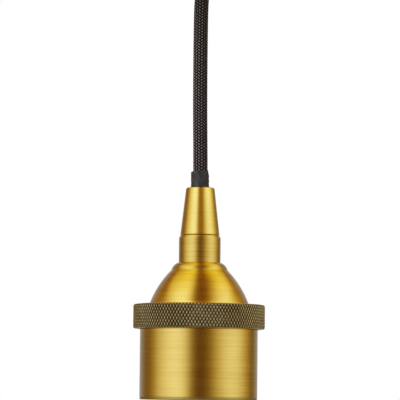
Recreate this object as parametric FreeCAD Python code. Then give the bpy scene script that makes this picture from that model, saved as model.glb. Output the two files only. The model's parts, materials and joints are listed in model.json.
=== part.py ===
"""Rise and fall pendant: a brass lamp holder that hangs on a braided flex from a sprung reel.

Millimetres, +Z up. The origin is the centre of the ceiling plate's top face, so everything
hangs below z = 0. The lamp holder is drawn in its own heights, counted up from the bottom of
its shell, and is then hung as far under the ceiling as its flex leaves it.
"""
import FreeCAD
import Part
import math
import os

V = FreeCAD.Vector
X, Y, Z = V(1, 0, 0), V(0, 1, 0), V(0, 0, 1)

# --- clearances -----------------------------------------------------------------------------
SEAT = 0.05            # face to face, between pieces that touch
RUN = 0.06             # radial, round a shaft that turns
SLIP = 0.2             # radial, round a piece that only passes through
SHADOW = 0.2           # the fine dark line between two screwed pieces

# --- flex -----------------------------------------------------------------------------------
CORD_R = 3.0           # braided flex, 6 mm over the braid
CORE_R = 1.15          # one insulated 0.75 mm2 core
CORD_SHOWN = 78.4      # bare flex from the guide's mouth to the sleeve, with the lamp high
NECK_HALF = 1.0        # half the short length that bends where the lamp swings
TURN_GAP = 0.5         # between one turn and the next on the reel
WIND_TURNS = 1.75      # turns of the outer layer with the lamp high
LAYER_GAP = 0.3        # between a layer of flex and what it lies on

# --- shell of the holder --------------------------------------------------------------------
SHELL_R = 24.0
SHELL_SHOWN = 28.65    # plain length below the knurled ring
SHELL_WALL = 1.6
RIM_H, RIM_STEP, RIM_ROUND = 1.2, 0.1, 0.4
SHELL_LIP_T = 1.4      # bottom lip, turned inwards
SHELL_LIP_W = 2.2
THREAD_DEPTH = 0.3     # the ring's thread is cut this far into the shell
TOP_LIP_T, TOP_LIP_W = 1.3, 1.2

# --- knurled ring and its fibre washer ------------------------------------------------------
RING_PROUD, RING_H = 2.9, 10.0         # how far it stands out of the shell, and its height
RING_GAP = 0.15
RING_LIP_T = 1.6
RING_HOLE_GAP = 0.25                   # round the dome's foot
RING_ROUND = 0.9
FIBRE_T = 0.55
DOME_FLANGE_T, DOME_FLANGE_IN = 1.2, 1.1          # how far the flange stays inside the shell's face

# --- dome, collar and cord grip -------------------------------------------------------------
DOME_FOOT_IN, DOME_TOP_R, DOME_H, DOME_CROWN = 3.65, 11.5, 14.1, 0.9
DOME_WALL = 1.2
FOOT_R, FOOT_TOP_R, FOOT_H, FOOT_CROWN = 11.5, 8.9, 3.0, 0.45
COLLAR_R, COLLAR_H, COLLAR_CHAMFER_R, COLLAR_CHAMFER_H = 8.52, 10.05, 8.05, 1.0
CONE_LOW_R, CONE_TOP_R, CONE_H, CONE_ROUND = 8.03, 5.8, 19.55, 0.6
CONE_THROAT_H, CONE_TAPER_H = 1.9, 2.8
SLEEVE_WALL, SLEEVE_FLARE, SLEEVE_SHOWN, SLEEVE_SLANT = 0.57, 0.12, 6.9, 0.6
SLEEVE_UP = 0.3                        # from the nipple's end to the sleeve's
COLLET_H, COLLET_TAPER_H, COLLET_SLIT = 7.6, 2.1, 1.0
COLLET_NOSE = 0.25                     # share of the collet's wall left at its nose

# --- threaded nipple and what it carries inside ---------------------------------------------
NIPPLE_R, NIPPLE_BORE_R = 5.0, 3.5
NIPPLE_UP, NIPPLE_DOWN = 8.5, 8.5      # above the cone's foot, below the dome's top
NUT_AF, NUT_H = 14.0, 4.4
LOCK_R, LOCK_T = 8.0, 0.8
BRIDGE_T, BRIDGE_HALF_X, BRIDGE_HALF_Y, BRIDGE_FOOT_X = 1.2, 9.8, 5.6, 17.0
BRIDGE_SCREW_X = 13.5
SCREW_HEAD_R, SCREW_HEAD_H, SCREW_R, SCREW_DEPTH = 3.0, 1.8, 1.5, 4.5
TAG_T, TAG_R, TAG_ARM = 0.7, 3.0, 5.6
TAG_BARREL_WALL, TAG_BARREL_H = 0.45, 3.1
TAIL_UP = 1.5                          # from the nipple's lower end to the end of the braid
CORE_SPLAY = 1.42                      # from the flex's middle line to each core's
CORE_DROP, CORE_OVER, CORE_LOOP = 2.0, 1.3, 3.3   # below the braid, and above the terminals

# --- ceramic insert and its contacts --------------------------------------------------------
INSERT_GAP, INSERT_STEP, INSERT_LOW, INSERT_TOP = 1.6, 1.2, 2.5, 33.0
INSERT_STEP_LOW, INSERT_STEP_HIGH = 24.0, 25.4
SOCKET_GAP, SOCKET_FLOOR = 0.45, 27.5
LAMP_THREAD_R, LAMP_SHELL_T, LAMP_SHELL_LOW, LAMP_BORE = 13.5, 0.45, 8.0, 14.0
SOCKET_R = LAMP_THREAD_R + LAMP_SHELL_T + SOCKET_GAP
LAMP_SHELL_HOLE_R, LAMP_SHELL_TAPER = 8.0, 1.1
PLUNGER_BORE_R, PLUNGER_HEAD_R, PLUNGER_HEAD_H = 3.2, 3.05, 1.3
PLUNGER_STEM_R, PLUNGER_TIP, PLUNGER_GUIDE_R, PLUNGER_GUIDE_H = 2.2, 5.2, 1.2, 1.5
PLUNGER_DOME = 0.9
KEEPER_R, KEEPER_T = 5.5, 0.85
SPRING_WIRE_R, SPRING_R, SPRING_TURNS = 0.3, 2.2, 3.25
BLOCK_HALF, BLOCK_H = 3.5, 6.0         # brass terminal blocks
LINE_WIRE_Y, NEUTRAL_WIRE_Y, BLOCK_EDGE = 6.0, 10.2, 4.3
LINE_IN_Y, NEUTRAL_IN_Y = 3.6, 7.5     # inner ends of the two blocks, across the middle and short of it
WIRE_HOLE_R, WIRE_DEPTH = 1.3, 4.0
PINCH_R, PINCH_HEAD_R, PINCH_HEAD_H, PINCH_IN = 1.1, 2.0, 1.6, 2.6
RIVET_R, RIVET_HEAD_R, RIVET_HEAD_T, RIVET_Y = 1.2, 2.0, 0.7, 10.3

# --- ceiling plate and canopy ---------------------------------------------------------------
PLATE_GAP, PLATE_T, PLATE_SKIRT = 0.6, 2.0, 8.0   # the gap is radial, inside the canopy
SLOT_SPACING, SLOT_LENGTH, SLOT_HALF = 80.0, 12.0, 2.5
SUPPLY_X, GROMMET_BORE_R, GROMMET_R, GROMMET_FLANGE_R = 38.0, 4.5, 6.5, 9.0
GROMMET_UNDER = 5.0                    # how far the grommet reaches below the ceiling
CANOPY_WALL, CANOPY_CORNER = 1.0, 32.0
CANOPY_TOP_GAP = 0.5                   # between the canopy's edge and the ceiling
CANOPY_SIDE_GAP, CANOPY_FLOOR_GAP = 2.2, 4.7      # from the reel's flanges to the canopy
CANOPY_SCREWS, CANOPY_SCREW_Z = 3, 5.0
CANOPY_SCREW_R, CANOPY_SCREW_HEAD_R, CANOPY_SCREW_HEAD_H, CANOPY_SCREW_L = 1.5, 3.2, 1.8, 6.0

# --- cord guide under the canopy ------------------------------------------------------------
GUIDE_FLANGE_R, GUIDE_FLANGE_H, GUIDE_TUBE_R, GUIDE_TUBE_UP = 11.0, 5.0, 7.5, 9.0
GUIDE_THROAT_R, GUIDE_MOUTH_R, GUIDE_TOP_R = 3.6, 7.0, 5.4
GUIDE_UPPER_HOLLOW, GUIDE_LOWER_HOLLOW = 0.4, 0.6
GUIDE_NUT_R, GUIDE_NUT_H = 10.0, 4.0

# --- sprung reel ----------------------------------------------------------------------------
LAYER_R = 30.5                         # middle of the flex in the outer layer
LEAVE_X = 3.5                          # where the flex leaves the reel
REEL_TOP_GAP = 2.7                     # from the reel's flanges to the ceiling plate
FLANGE_OVER, FLANGE_T, REEL_IN = 1.3, 1.5, 20.0   # how far the flanges pass the flex, and the width inside
BARREL_WALL, HUB_R = 2.0, 6.0
WEB_HOLE_R, WEB_HOLES, WEB_HOLE_AT = 4.5, 4, 13.0
AXLE_R, AXLE_OVER = 3.0, 2.4
CLIP_R, CLIP_T, CLIP_GROOVE = 5.5, 0.8, 0.5
CASE_R, CASE_W, CASE_WALL = 22.0, 10.5, 1.2
STRIP_T, STRIP_TURNS, STRIP_IN_R, STRIP_SIDE = 0.6, 6, 4.5, 0.4
RING_HUB_R, RING_HUB_W, CONTACT_RING_R, CONTACT_RING_W, CONTACT_RING_STEP = 9.0, 10.5, 10.5, 1.8, 3.0
REEL_SIDE_GAP = 1.5
BRACKET_T, BRACKET_HALF, BRACKET_FOOT, BRACKET_FOOT_HALF = 1.5, 14.0, 8.0, 11.0
FIX_SCREW_R, FIX_HEAD_R, FIX_HEAD_H, FIX_AT = 1.5, 3.0, 1.8, 7.0
BRUSH_BLOCK_X, BRUSH_BLOCK_T, BRUSH_BLOCK_LOW, BRUSH_R = 2.0, 8.0, 5.0, 1.0
BRAKE_X, BRAKE_Z, PAD_R, PAD_T = -11.0, 21.5, 3.5, 2.4
BRAKE_SCREW_R, BRAKE_HEAD_R, BRAKE_HEAD_H = 2.0, 3.5, 2.0
RAMP_L, RAMP_W, RAMP_SHORT = 6.0, 5.0, 1.0
LEAD_RUN, LEAD_BEND_UP = 16.0, 11.5    # straight below the reel, and the bend above the guide

# --- supply terminals -----------------------------------------------------------------------
SUPPLY_BLOCK_NEAR, SUPPLY_BLOCK_L, SUPPLY_BLOCK_W, SUPPLY_BLOCK_H = 12.0, 14.0, 28.0, 13.0
SUPPLY_PITCH, SUPPLY_SCREW_R, SUPPLY_SCREW_DEPTH, SUPPLY_SCREW_SUNK = 8.5, 1.8, 5.0, 1.0
SUPPLY_HOLE_R, SUPPLY_HOLE_DEPTH, WIRE_IN = 1.8, 4.2, 2.0
LEAD_DROP, LEAD_FALL, LEAD_STRAIGHT = 10.0, 2.0, 5.0

# --- heights worked out from these ----------------------------------------------------------
SHELL_IN_R = SHELL_R - SHELL_WALL
DOME_FOOT_R, DOME_FLANGE_R = SHELL_R - DOME_FOOT_IN, SHELL_R - DOME_FLANGE_IN
RING_HOLE_R = DOME_FOOT_R + RING_HOLE_GAP
INSERT_R = SHELL_IN_R - INSERT_GAP
INSERT_LOW_R = INSERT_R - INSERT_STEP
RING_LOW = SHELL_SHOWN + RING_GAP
RING_TOP = RING_LOW + RING_H
LIP_UNDER = RING_TOP - RING_LIP_T
FIBRE_LOW = LIP_UNDER - SEAT - FIBRE_T
SHELL_TOP = FIBRE_LOW - DOME_FLANGE_T
DOME_TOP = RING_TOP + DOME_H
FOOT_TOP = DOME_TOP + FOOT_H
COLLAR_TOP = FOOT_TOP + COLLAR_H + COLLAR_CHAMFER_H
CONE_LOW = COLLAR_TOP + SHADOW
CONE_TOP = CONE_LOW + CONE_H
NIPPLE_TOP = CONE_LOW + NIPPLE_UP
NIPPLE_LOW = DOME_TOP - NIPPLE_DOWN
SLEEVE_R = CORD_R + SEAT + SLEEVE_WALL
SLEEVE_TOP = CONE_TOP + SLEEVE_SHOWN
SLEEVE_LOW = NIPPLE_TOP + SLEEVE_UP
CONE_HOLE_R = SLEEVE_R + SLEEVE_FLARE + SLIP
THREAD_BORE_R = NIPPLE_R + RUN
CORD_JOIN = CONE_TOP - CONE_THROAT_H   # the hanging flex meets its clamped end here
TAIL_LOW = NIPPLE_LOW + TAIL_UP
RING_R = SHELL_R + RING_PROUD
WIND_STEP = 2 * CORD_R + TURN_GAP
FLANGE_R = LAYER_R + CORD_R + FLANGE_OVER
REEL_X, REEL_Z = LEAVE_X - LAYER_R, -(PLATE_T + REEL_TOP_GAP + FLANGE_R)
CANOPY_R = FLANGE_R - REEL_X + CANOPY_SIDE_GAP + CANOPY_WALL
CANOPY_H = FLANGE_R - REEL_Z + CANOPY_FLOOR_GAP + CANOPY_WALL
PLATE_R = CANOPY_R - CANOPY_WALL - PLATE_GAP
GUIDE_MOUTH = -(CANOPY_H + GUIDE_FLANGE_H)
PIVOT = -CANOPY_H                      # where the flex bends as the lamp swings
HANG = GUIDE_MOUTH - CORD_SHOWN - SLEEVE_TOP
REEL_HALF = REEL_IN / 2 + FLANGE_T
BRACKET_IN = REEL_HALF + CASE_W + REEL_SIDE_GAP
BRACKET_OUT = BRACKET_IN + BRACKET_T
LAYER_IN_R = LAYER_R - CORD_R - LAYER_GAP
BARREL_R = LAYER_IN_R - 2 * CORD_R
LEAVE_Y = WIND_TURNS * WIND_STEP - (REEL_IN / 2 - CORD_R - LAYER_GAP)


# --- shape helpers --------------------------------------------------------------------------
def bulged(a, b, bulge):
    """The middle point of an arc from a to b that stands out of its chord by bulge, to the right."""
    length = math.hypot(b[0] - a[0], b[1] - a[1])
    out = (b[1] - a[1]) / length, -(b[0] - a[0]) / length
    return (a[0] + b[0]) / 2 + bulge * out[0], (a[1] + b[1]) / 2 + bulge * out[1]


def outline(points, along=Z):
    """Closed edges through (radius, height) points; ("arc", via) makes the next edge an arc."""
    place = lambda p: X * p[0] + along * p[1]
    edges, last, via = [], None, None
    for point in points + [points[0]]:
        if point[0] == "arc":
            via = place(point[1])
            continue
        here = place(point)
        if last is not None:
            edges.append(Part.Arc(last, via, here).toShape() if via
                         else Part.LineSegment(last, here).toShape())
        last, via = here, None
    return edges


def turned(points, along=Z):
    """A solid of revolution about the Z or Y axis through the origin."""
    face = Part.Face(Part.Wire(outline(points, along)))
    solid = face.revolve(V(0, 0, 0), along, 360)
    return solid if solid.Volume > 0 else solid.reversed()


def tube(outer, inner, low, high, along=Z):
    return turned([(inner, low), (outer, low), (outer, high), (inner, high)], along)


def rod(radius, start, end):
    return Part.makeCylinder(radius, (end - start).Length, start, end - start)


def box(x, y, z):
    """A box from its three spans."""
    return Part.makeBox(x[1] - x[0], y[1] - y[0], z[1] - z[0], V(x[0], y[0], z[0]))


def hexagon(across_flats, low, high):
    corner = across_flats / math.sqrt(3)
    ring = [V(corner * math.cos(math.radians(60 * i)), corner * math.sin(math.radians(60 * i)), low)
            for i in range(7)]
    return Part.Face(Part.makePolygon(ring)).extrude(Z * (high - low))


def swept(edges, radius, where, way):
    """A round tube along joined edges, which start at a point and run the given way."""
    circle = Part.Wire(Part.makeCircle(radius, where, way))
    solid = Part.Wire(edges).makePipeShell([circle], True)
    return solid if solid.Volume > 0 else solid.reversed()


def routed(points, radius, name):
    """A tube on straight runs joined by tangent arcs, each as large as its two runs allow."""
    edges, last, tightest, length = [], points[0], None, 0.0
    for before, corner, after in zip(points, points[1:], points[2:]):
        back, on = (before - corner).normalize(), (after - corner).normalize()
        half = (math.pi - back.getAngle(on)) / 2
        reach = 0.45 * min((before - corner).Length, (after - corner).Length)
        bend = reach / math.tan(half)
        start, end = corner + back * reach, corner + on * reach
        inward = (back + on).normalize()
        middle = corner + inward * (bend / math.cos(half) - bend)
        edges += [Part.LineSegment(last, start).toShape(), Part.Arc(start, middle, end).toShape()]
        last, tightest = end, min(bend, tightest or bend)
    edges.append(Part.LineSegment(last, points[-1]).toShape())
    length = sum(edge.Length for edge in edges)
    solid = swept(edges, radius, points[0], points[1] - points[0])
    kept = solid.Volume / (math.pi * radius ** 2 * length)
    print(f"{name}: length {length:.1f}, tightest bend {tightest:.1f}, volume share {kept:.4f}")
    return solid


def biarc(start, way_in, end, way_out):
    """Two tangent arcs that join two points with given directions."""
    gap, ways = end - start, way_in + way_out
    a, b, c = 2 * (1 - way_in.dot(way_out)), gap.dot(ways), gap.dot(gap)
    reach = (-b + math.sqrt(b * b + a * c)) / a
    joint = (start + end + (way_in - way_out) * reach) * 0.5
    arcs = []
    for one, way, other in ((start, way_in, joint), (end, way_out * -1, joint)):
        chord = other - one
        half = way.getAngle(chord)
        side = (way - V(chord).normalize() * math.cos(half)).normalize()
        middle = (one + other) * 0.5 + side * (chord.Length / 2 * math.tan(half / 2))
        arcs.append(Part.Arc(one, middle, other).toShape() if one is start
                    else Part.Arc(other, middle, one).toShape())
    return arcs


def coiled(at, way_at, turns, per_turn):
    """The edges of a coil, by a biarc for each quarter turn, from its points and directions."""
    steps = int(round(turns * per_turn))
    edges = []
    for i in range(steps):
        one, two = i / per_turn, (i + 1) / per_turn
        edges += biarc(at(one), way_at(one), at(two), way_at(two))
    return edges


def least_gap(points, apart, radius):
    """The least free space between stretches of a tube that lie further on than apart points."""
    return min((p - q).Length for i, p in enumerate(points) for q in points[i + apart:]) - 2 * radius


def screw(at, way, head_r, head_h, shank_r, shank_l):
    """A screw whose head stands on the point at, with its shank running the given way."""
    return rod(head_r, at - way * head_h, at).fuse(rod(shank_r, at, at + way * shank_l)).removeSplitter()


# --- the lamp holder, in its own heights ----------------------------------------------------
def shell():
    """The plain brass skirt, with a turned-in bottom lip and the ring's thread at its top."""
    step, thread = SHELL_R - RIM_STEP, SHELL_R - THREAD_DEPTH
    mouth, neck = SHELL_IN_R - SHELL_LIP_W, SHELL_IN_R - TOP_LIP_W
    turn = RIM_ROUND * (1 - math.sqrt(0.5))
    return turned([
        (mouth, 0), (step - RIM_ROUND, 0), ("arc", (step - turn, turn)), (step, RIM_ROUND),
        (step, RIM_H), (SHELL_R, RIM_H + RIM_STEP), (SHELL_R, SHELL_SHOWN), (thread, SHELL_SHOWN),
        (thread, SHELL_TOP), (neck, SHELL_TOP), (neck, SHELL_TOP - TOP_LIP_T),
        (SHELL_IN_R, SHELL_TOP - TOP_LIP_T - TOP_LIP_W), (SHELL_IN_R, SHELL_LIP_T),
        (mouth, SHELL_LIP_T)])


def knurled_ring():
    """The ring nut: its lip draws the dome's flange down on the shell."""
    bore, turn = SHELL_R - THREAD_DEPTH + RUN, RING_ROUND * (1 - math.sqrt(0.5))
    return turned([
        (bore, RING_LOW), (RING_R - RING_ROUND, RING_LOW), ("arc", (RING_R - turn, RING_LOW + turn)),
        (RING_R, RING_LOW + RING_ROUND), (RING_R, RING_TOP - RING_ROUND),
        ("arc", (RING_R - turn, RING_TOP - turn)), (RING_R - RING_ROUND, RING_TOP),
        (RING_HOLE_R, RING_TOP), (RING_HOLE_R, LIP_UNDER), (bore, LIP_UNDER)])


def ring_washer():
    return tube(DOME_FLANGE_R - SLIP, DOME_FOOT_R + 2 * SLIP, FIBRE_LOW, FIBRE_LOW + FIBRE_T)


def dome_cap():
    """The spun dome, with a flange at its foot and a flat top round the nipple."""
    foot, top = (DOME_FOOT_R, RING_TOP), (DOME_TOP_R, DOME_TOP)
    inner_foot = (DOME_FOOT_R - DOME_WALL, RING_TOP)
    inner_top = (DOME_TOP_R - DOME_WALL / 2, DOME_TOP - DOME_WALL)
    hole = NIPPLE_R + SEAT
    return turned([
        (inner_foot[0], SHELL_TOP), (DOME_FLANGE_R, SHELL_TOP), (DOME_FLANGE_R, FIBRE_LOW),
        (DOME_FOOT_R, FIBRE_LOW), foot, ("arc", bulged(foot, top, DOME_CROWN)), top,
        (hole, DOME_TOP), (hole, DOME_TOP - DOME_WALL), inner_top,
        ("arc", bulged(inner_foot, inner_top, DOME_CROWN)), inner_foot])


def collar():
    """The turned collar on the dome: a rounded foot under a short cylinder."""
    hole = NIPPLE_R + SEAT
    foot, shoulder = (FOOT_R, DOME_TOP), (FOOT_TOP_R, FOOT_TOP)
    return turned([
        (hole, DOME_TOP), foot, ("arc", bulged(foot, shoulder, FOOT_CROWN)), shoulder,
        (COLLAR_R, FOOT_TOP), (COLLAR_R, FOOT_TOP + COLLAR_H), (COLLAR_CHAMFER_R, COLLAR_TOP),
        (hole, COLLAR_TOP)])


def cone_grip():
    """The tapered cord grip, screwed on the nipple over a split collet."""
    turn = CONE_ROUND * (1 - math.sqrt(0.5))
    throat, taper = CONE_TOP - CONE_THROAT_H, CONE_TOP - CONE_THROAT_H - CONE_TAPER_H
    return turned([
        (THREAD_BORE_R, CONE_LOW), (CONE_LOW_R, CONE_LOW), (CONE_TOP_R, CONE_TOP - CONE_ROUND),
        ("arc", (CONE_TOP_R - turn, CONE_TOP - turn)), (CONE_TOP_R - CONE_ROUND, CONE_TOP),
        (CONE_HOLE_R, CONE_TOP), (CONE_HOLE_R, throat), (THREAD_BORE_R, taper)])


def grip_collet():
    """The split collet inside the grip; it rides up with the grip when that is unscrewed."""
    bore, outer = CONE_HOLE_R - SEAT, NIPPLE_R - SEAT
    low = NIPPLE_TOP + SLIP
    high = low + COLLET_H
    body = turned([(bore, low), (outer, low), (outer, high - COLLET_TAPER_H),
                   (bore + (outer - bore) * COLLET_NOSE, high), (bore, high)])
    return body.cut(box((0, outer + 1), (-COLLET_SLIT / 2, COLLET_SLIT / 2), (low - 1, high + 1)))


def strain_sleeve():
    """The rubber sleeve on the flex, a little wider and cut slantwise at its top."""
    bore, top = CORD_R + SEAT, SLEEVE_TOP + SLEEVE_SLANT / 2
    flared = SLEEVE_R + SLEEVE_FLARE
    body = turned([(bore, SLEEVE_LOW), (SLEEVE_R, SLEEVE_LOW), (SLEEVE_R, CONE_TOP),
                   (flared, top), (bore, top)])
    slope = math.degrees(math.atan2(SLEEVE_SLANT, 2 * flared))
    knife = Part.makeBox(4 * flared, 4 * flared, 2 * flared, V(-2 * flared, -2 * flared, 0))
    knife.rotate(V(0, 0, 0), Y, -slope)
    knife.translate(Z * SLEEVE_TOP)
    return body.cut(knife)


def nipple_nut():
    high = DOME_TOP - DOME_WALL - LOCK_T - BRIDGE_T
    return hexagon(NUT_AF, high - NUT_H, high).cut(rod(THREAD_BORE_R, Z * 0, Z * DOME_TOP))


def lock_washer():
    high = DOME_TOP - DOME_WALL
    return tube(LOCK_R, THREAD_BORE_R, high - LOCK_T, high)


def insert_bridge():
    """The steel strip that carries the ceramic insert from the nipple."""
    top = DOME_TOP - DOME_WALL - LOCK_T
    half_y = (-BRIDGE_HALF_Y, BRIDGE_HALF_Y)
    strip = box((-BRIDGE_HALF_X, BRIDGE_HALF_X), half_y, (top - BRIDGE_T, top))
    for side in (-1, 1):
        leg = sorted((side * (BRIDGE_HALF_X - BRIDGE_T), side * BRIDGE_HALF_X))
        foot = sorted((side * (BRIDGE_HALF_X - BRIDGE_T), side * BRIDGE_FOOT_X))
        strip = strip.fuse(box(leg, half_y, (INSERT_TOP, top)))
        strip = strip.fuse(box(foot, half_y, (INSERT_TOP, INSERT_TOP + BRIDGE_T)))
        strip = strip.cut(rod(SCREW_R + SEAT, V(side * BRIDGE_SCREW_X, 0, 0),
                              V(side * BRIDGE_SCREW_X, 0, INSERT_TOP + BRIDGE_T)))
    return strip.cut(rod(THREAD_BORE_R, Z * 0, Z * DOME_TOP)).removeSplitter()


def bridge_screw(side, washer):
    at = V(side * BRIDGE_SCREW_X, 0, INSERT_TOP + BRIDGE_T + washer)
    return screw(at, Z * -1, SCREW_HEAD_R, SCREW_HEAD_H, SCREW_R, SCREW_DEPTH + BRIDGE_T + washer)


def earth_tag():
    """The ring tag under the left bridge screw, with a crimp barrel for the earth core."""
    low, x = INSERT_TOP + BRIDGE_T, -BRIDGE_SCREW_X
    bore = CORE_R + SEAT
    outer = bore + TAG_BARREL_WALL
    tag = rod(TAG_R, V(x, 0, low), V(x, 0, low + TAG_T))
    tag = tag.fuse(box((x - outer, x + outer), (0, TAG_ARM), (low, low + TAG_T)))
    tag = tag.fuse(rod(outer, V(x, TAG_ARM, low), V(x, TAG_ARM, low + TAG_T + TAG_BARREL_H)))
    tag = tag.cut(rod(bore, V(x, TAG_ARM, low + TAG_T), V(x, TAG_ARM, low + 2 * TAG_T + TAG_BARREL_H)))
    return tag.cut(rod(SCREW_R + SEAT, V(x, 0, low), V(x, 0, low + TAG_T))).removeSplitter()


def ceramic_insert():
    """The ceramic body of the lamp socket."""
    body = turned([
        (SOCKET_R, INSERT_LOW), (INSERT_LOW_R, INSERT_LOW), (INSERT_LOW_R, INSERT_STEP_LOW),
        (INSERT_R, INSERT_STEP_HIGH), (INSERT_R, INSERT_TOP), (PLUNGER_BORE_R, INSERT_TOP),
        (PLUNGER_BORE_R, SOCKET_FLOOR), (SOCKET_R, SOCKET_FLOOR)])
    for side in (-1, 1):
        x = side * BRIDGE_SCREW_X
        body = body.cut(rod(SCREW_R + SEAT, V(x, 0, INSERT_TOP - SCREW_DEPTH - SEAT), V(x, 0, INSERT_TOP)))
    return body.cut(rod(RIVET_R + SEAT, V(0, RIVET_Y, SOCKET_FLOOR), V(0, RIVET_Y, INSERT_TOP)))


def lamp_shell():
    """The thin brass screw shell that takes the lamp's cap."""
    top, inner, outer = SOCKET_FLOOR - SEAT, LAMP_THREAD_R, LAMP_THREAD_R + LAMP_SHELL_T
    bend = LAMP_SHELL_LOW + LAMP_BORE
    hole, narrow = LAMP_SHELL_HOLE_R, LAMP_THREAD_R - LAMP_SHELL_TAPER
    body = turned([(inner, LAMP_SHELL_LOW), (outer, LAMP_SHELL_LOW), (outer, bend),
                   (narrow + LAMP_SHELL_T, top), (hole, top), (hole, top - LAMP_SHELL_T),
                   (narrow, top - LAMP_SHELL_T), (inner, bend)])
    return body.cut(rod(RIVET_R + SEAT, V(0, RIVET_Y, top - 2 * LAMP_SHELL_T), V(0, RIVET_Y, top)))


def contact_keeper():
    """The brass ring that keeps the sprung centre contact in its bore."""
    top = SOCKET_FLOOR - SEAT
    return tube(KEEPER_R, PLUNGER_STEM_R + RUN, top - KEEPER_T, top)


def contact_plunger():
    """The sprung centre contact, with a domed tip."""
    shoulder = SOCKET_FLOOR
    tip, head = shoulder - PLUNGER_TIP, shoulder + PLUNGER_HEAD_H
    ball = (PLUNGER_STEM_R ** 2 + PLUNGER_DOME ** 2) / (2 * PLUNGER_DOME)
    half = math.asin(PLUNGER_STEM_R / ball) / 2
    return turned([
        (0, tip), ("arc", (ball * math.sin(half), tip + ball * (1 - math.cos(half)))),
        (PLUNGER_STEM_R, tip + PLUNGER_DOME), (PLUNGER_STEM_R, shoulder),
        (PLUNGER_HEAD_R, shoulder), (PLUNGER_HEAD_R, head),
        (PLUNGER_GUIDE_R, head), (PLUNGER_GUIDE_R, head + PLUNGER_GUIDE_H),
        (0, head + PLUNGER_GUIDE_H)])


def plunger_spring():
    """The small coil spring between the contact and the live terminal."""
    low = SOCKET_FLOOR + PLUNGER_HEAD_H + SEAT + SPRING_WIRE_R
    rise = (INSERT_TOP - SEAT - SPRING_WIRE_R - low) / SPRING_TURNS
    at = lambda t: V(SPRING_R * math.cos(2 * math.pi * t), SPRING_R * math.sin(2 * math.pi * t),
                     low + rise * t)
    way = lambda t: V(-2 * math.pi * SPRING_R * math.sin(2 * math.pi * t),
                      2 * math.pi * SPRING_R * math.cos(2 * math.pi * t), rise).normalize()
    edges = coiled(at, way, SPRING_TURNS, 4)
    gap = least_gap([at(i / 24) for i in range(int(24 * SPRING_TURNS) + 1)], 18, SPRING_WIRE_R)
    print(f"plunger_spring: least gap between turns {gap:.2f}")
    return swept(edges, SPRING_WIRE_R, at(0), way(0))


def terminal(wire_y, edge_in, edge_out, rivet):
    """A brass terminal block with an upright wire hole and a pinch screw's hole in its outer end."""
    low, high = INSERT_TOP, INSERT_TOP + BLOCK_H
    block = box((-BLOCK_HALF, BLOCK_HALF), sorted((edge_in, edge_out)), (low, high))
    block = block.cut(rod(WIRE_HOLE_R, V(0, wire_y, high - WIRE_DEPTH), V(0, wire_y, high)))
    middle = high - WIRE_DEPTH / 2
    block = block.cut(rod(PINCH_R + SEAT, V(0, wire_y, middle), V(0, edge_out, middle)))
    if rivet:
        block = block.cut(rod(RIVET_R + SEAT, V(0, RIVET_Y, low), V(0, RIVET_Y, low + RIVET_HEAD_T + SEAT)))
    return block


def pinch_screw(edge_out):
    """The screw in the terminal's outer end, which stops just short of the wire."""
    side = 1 if edge_out > 0 else -1
    at = V(0, edge_out, INSERT_TOP + BLOCK_H - WIRE_DEPTH / 2)
    return screw(at, Y * -side, PINCH_HEAD_R, PINCH_HEAD_H, PINCH_R, PINCH_IN)


def neutral_rivet():
    """The rivet that joins the screw shell to its terminal through the ceramic."""
    under = SOCKET_FLOOR - SEAT - LAMP_SHELL_T
    return rod(RIVET_HEAD_R, V(0, RIVET_Y, under - RIVET_HEAD_T), V(0, RIVET_Y, under)).fuse(
        rod(RIVET_R, V(0, RIVET_Y, under), V(0, RIVET_Y, INSERT_TOP + RIVET_HEAD_T))).removeSplitter()


def cores():
    """The three insulated cores, fanned out from the flex's end to their terminals."""
    top = INSERT_TOP + BLOCK_H
    stop, over, loop = top - WIRE_DEPTH + SEAT, top + CORE_OVER, top + CORE_LOOP
    tag_x, tag_stop = -BRIDGE_SCREW_X, INSERT_TOP + BRIDGE_T + TAG_T + SEAT
    ways = {
        "core_line": (270, [V(0, -LINE_WIRE_Y, over), V(0, -LINE_WIRE_Y, stop)]),
        "core_neutral": (30, [V(1.2, 5.6, loop), V(0, NEUTRAL_WIRE_Y, over), V(0, NEUTRAL_WIRE_Y, stop)]),
        "core_earth": (150, [V(-4.4, 4.6, loop), V(-9.0, 7.6, (over + loop) / 2), V(tag_x, TAG_ARM, over),
                             V(tag_x, TAG_ARM, tag_stop)]),
    }
    nodes = {}
    for name, (turn, points) in ways.items():
        a = math.radians(turn)
        start = V(CORE_SPLAY * math.cos(a), CORE_SPLAY * math.sin(a), TAIL_LOW)
        nodes[name] = routed([start, start - Z * CORE_DROP] + points, CORE_R, name)
    return nodes


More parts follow.
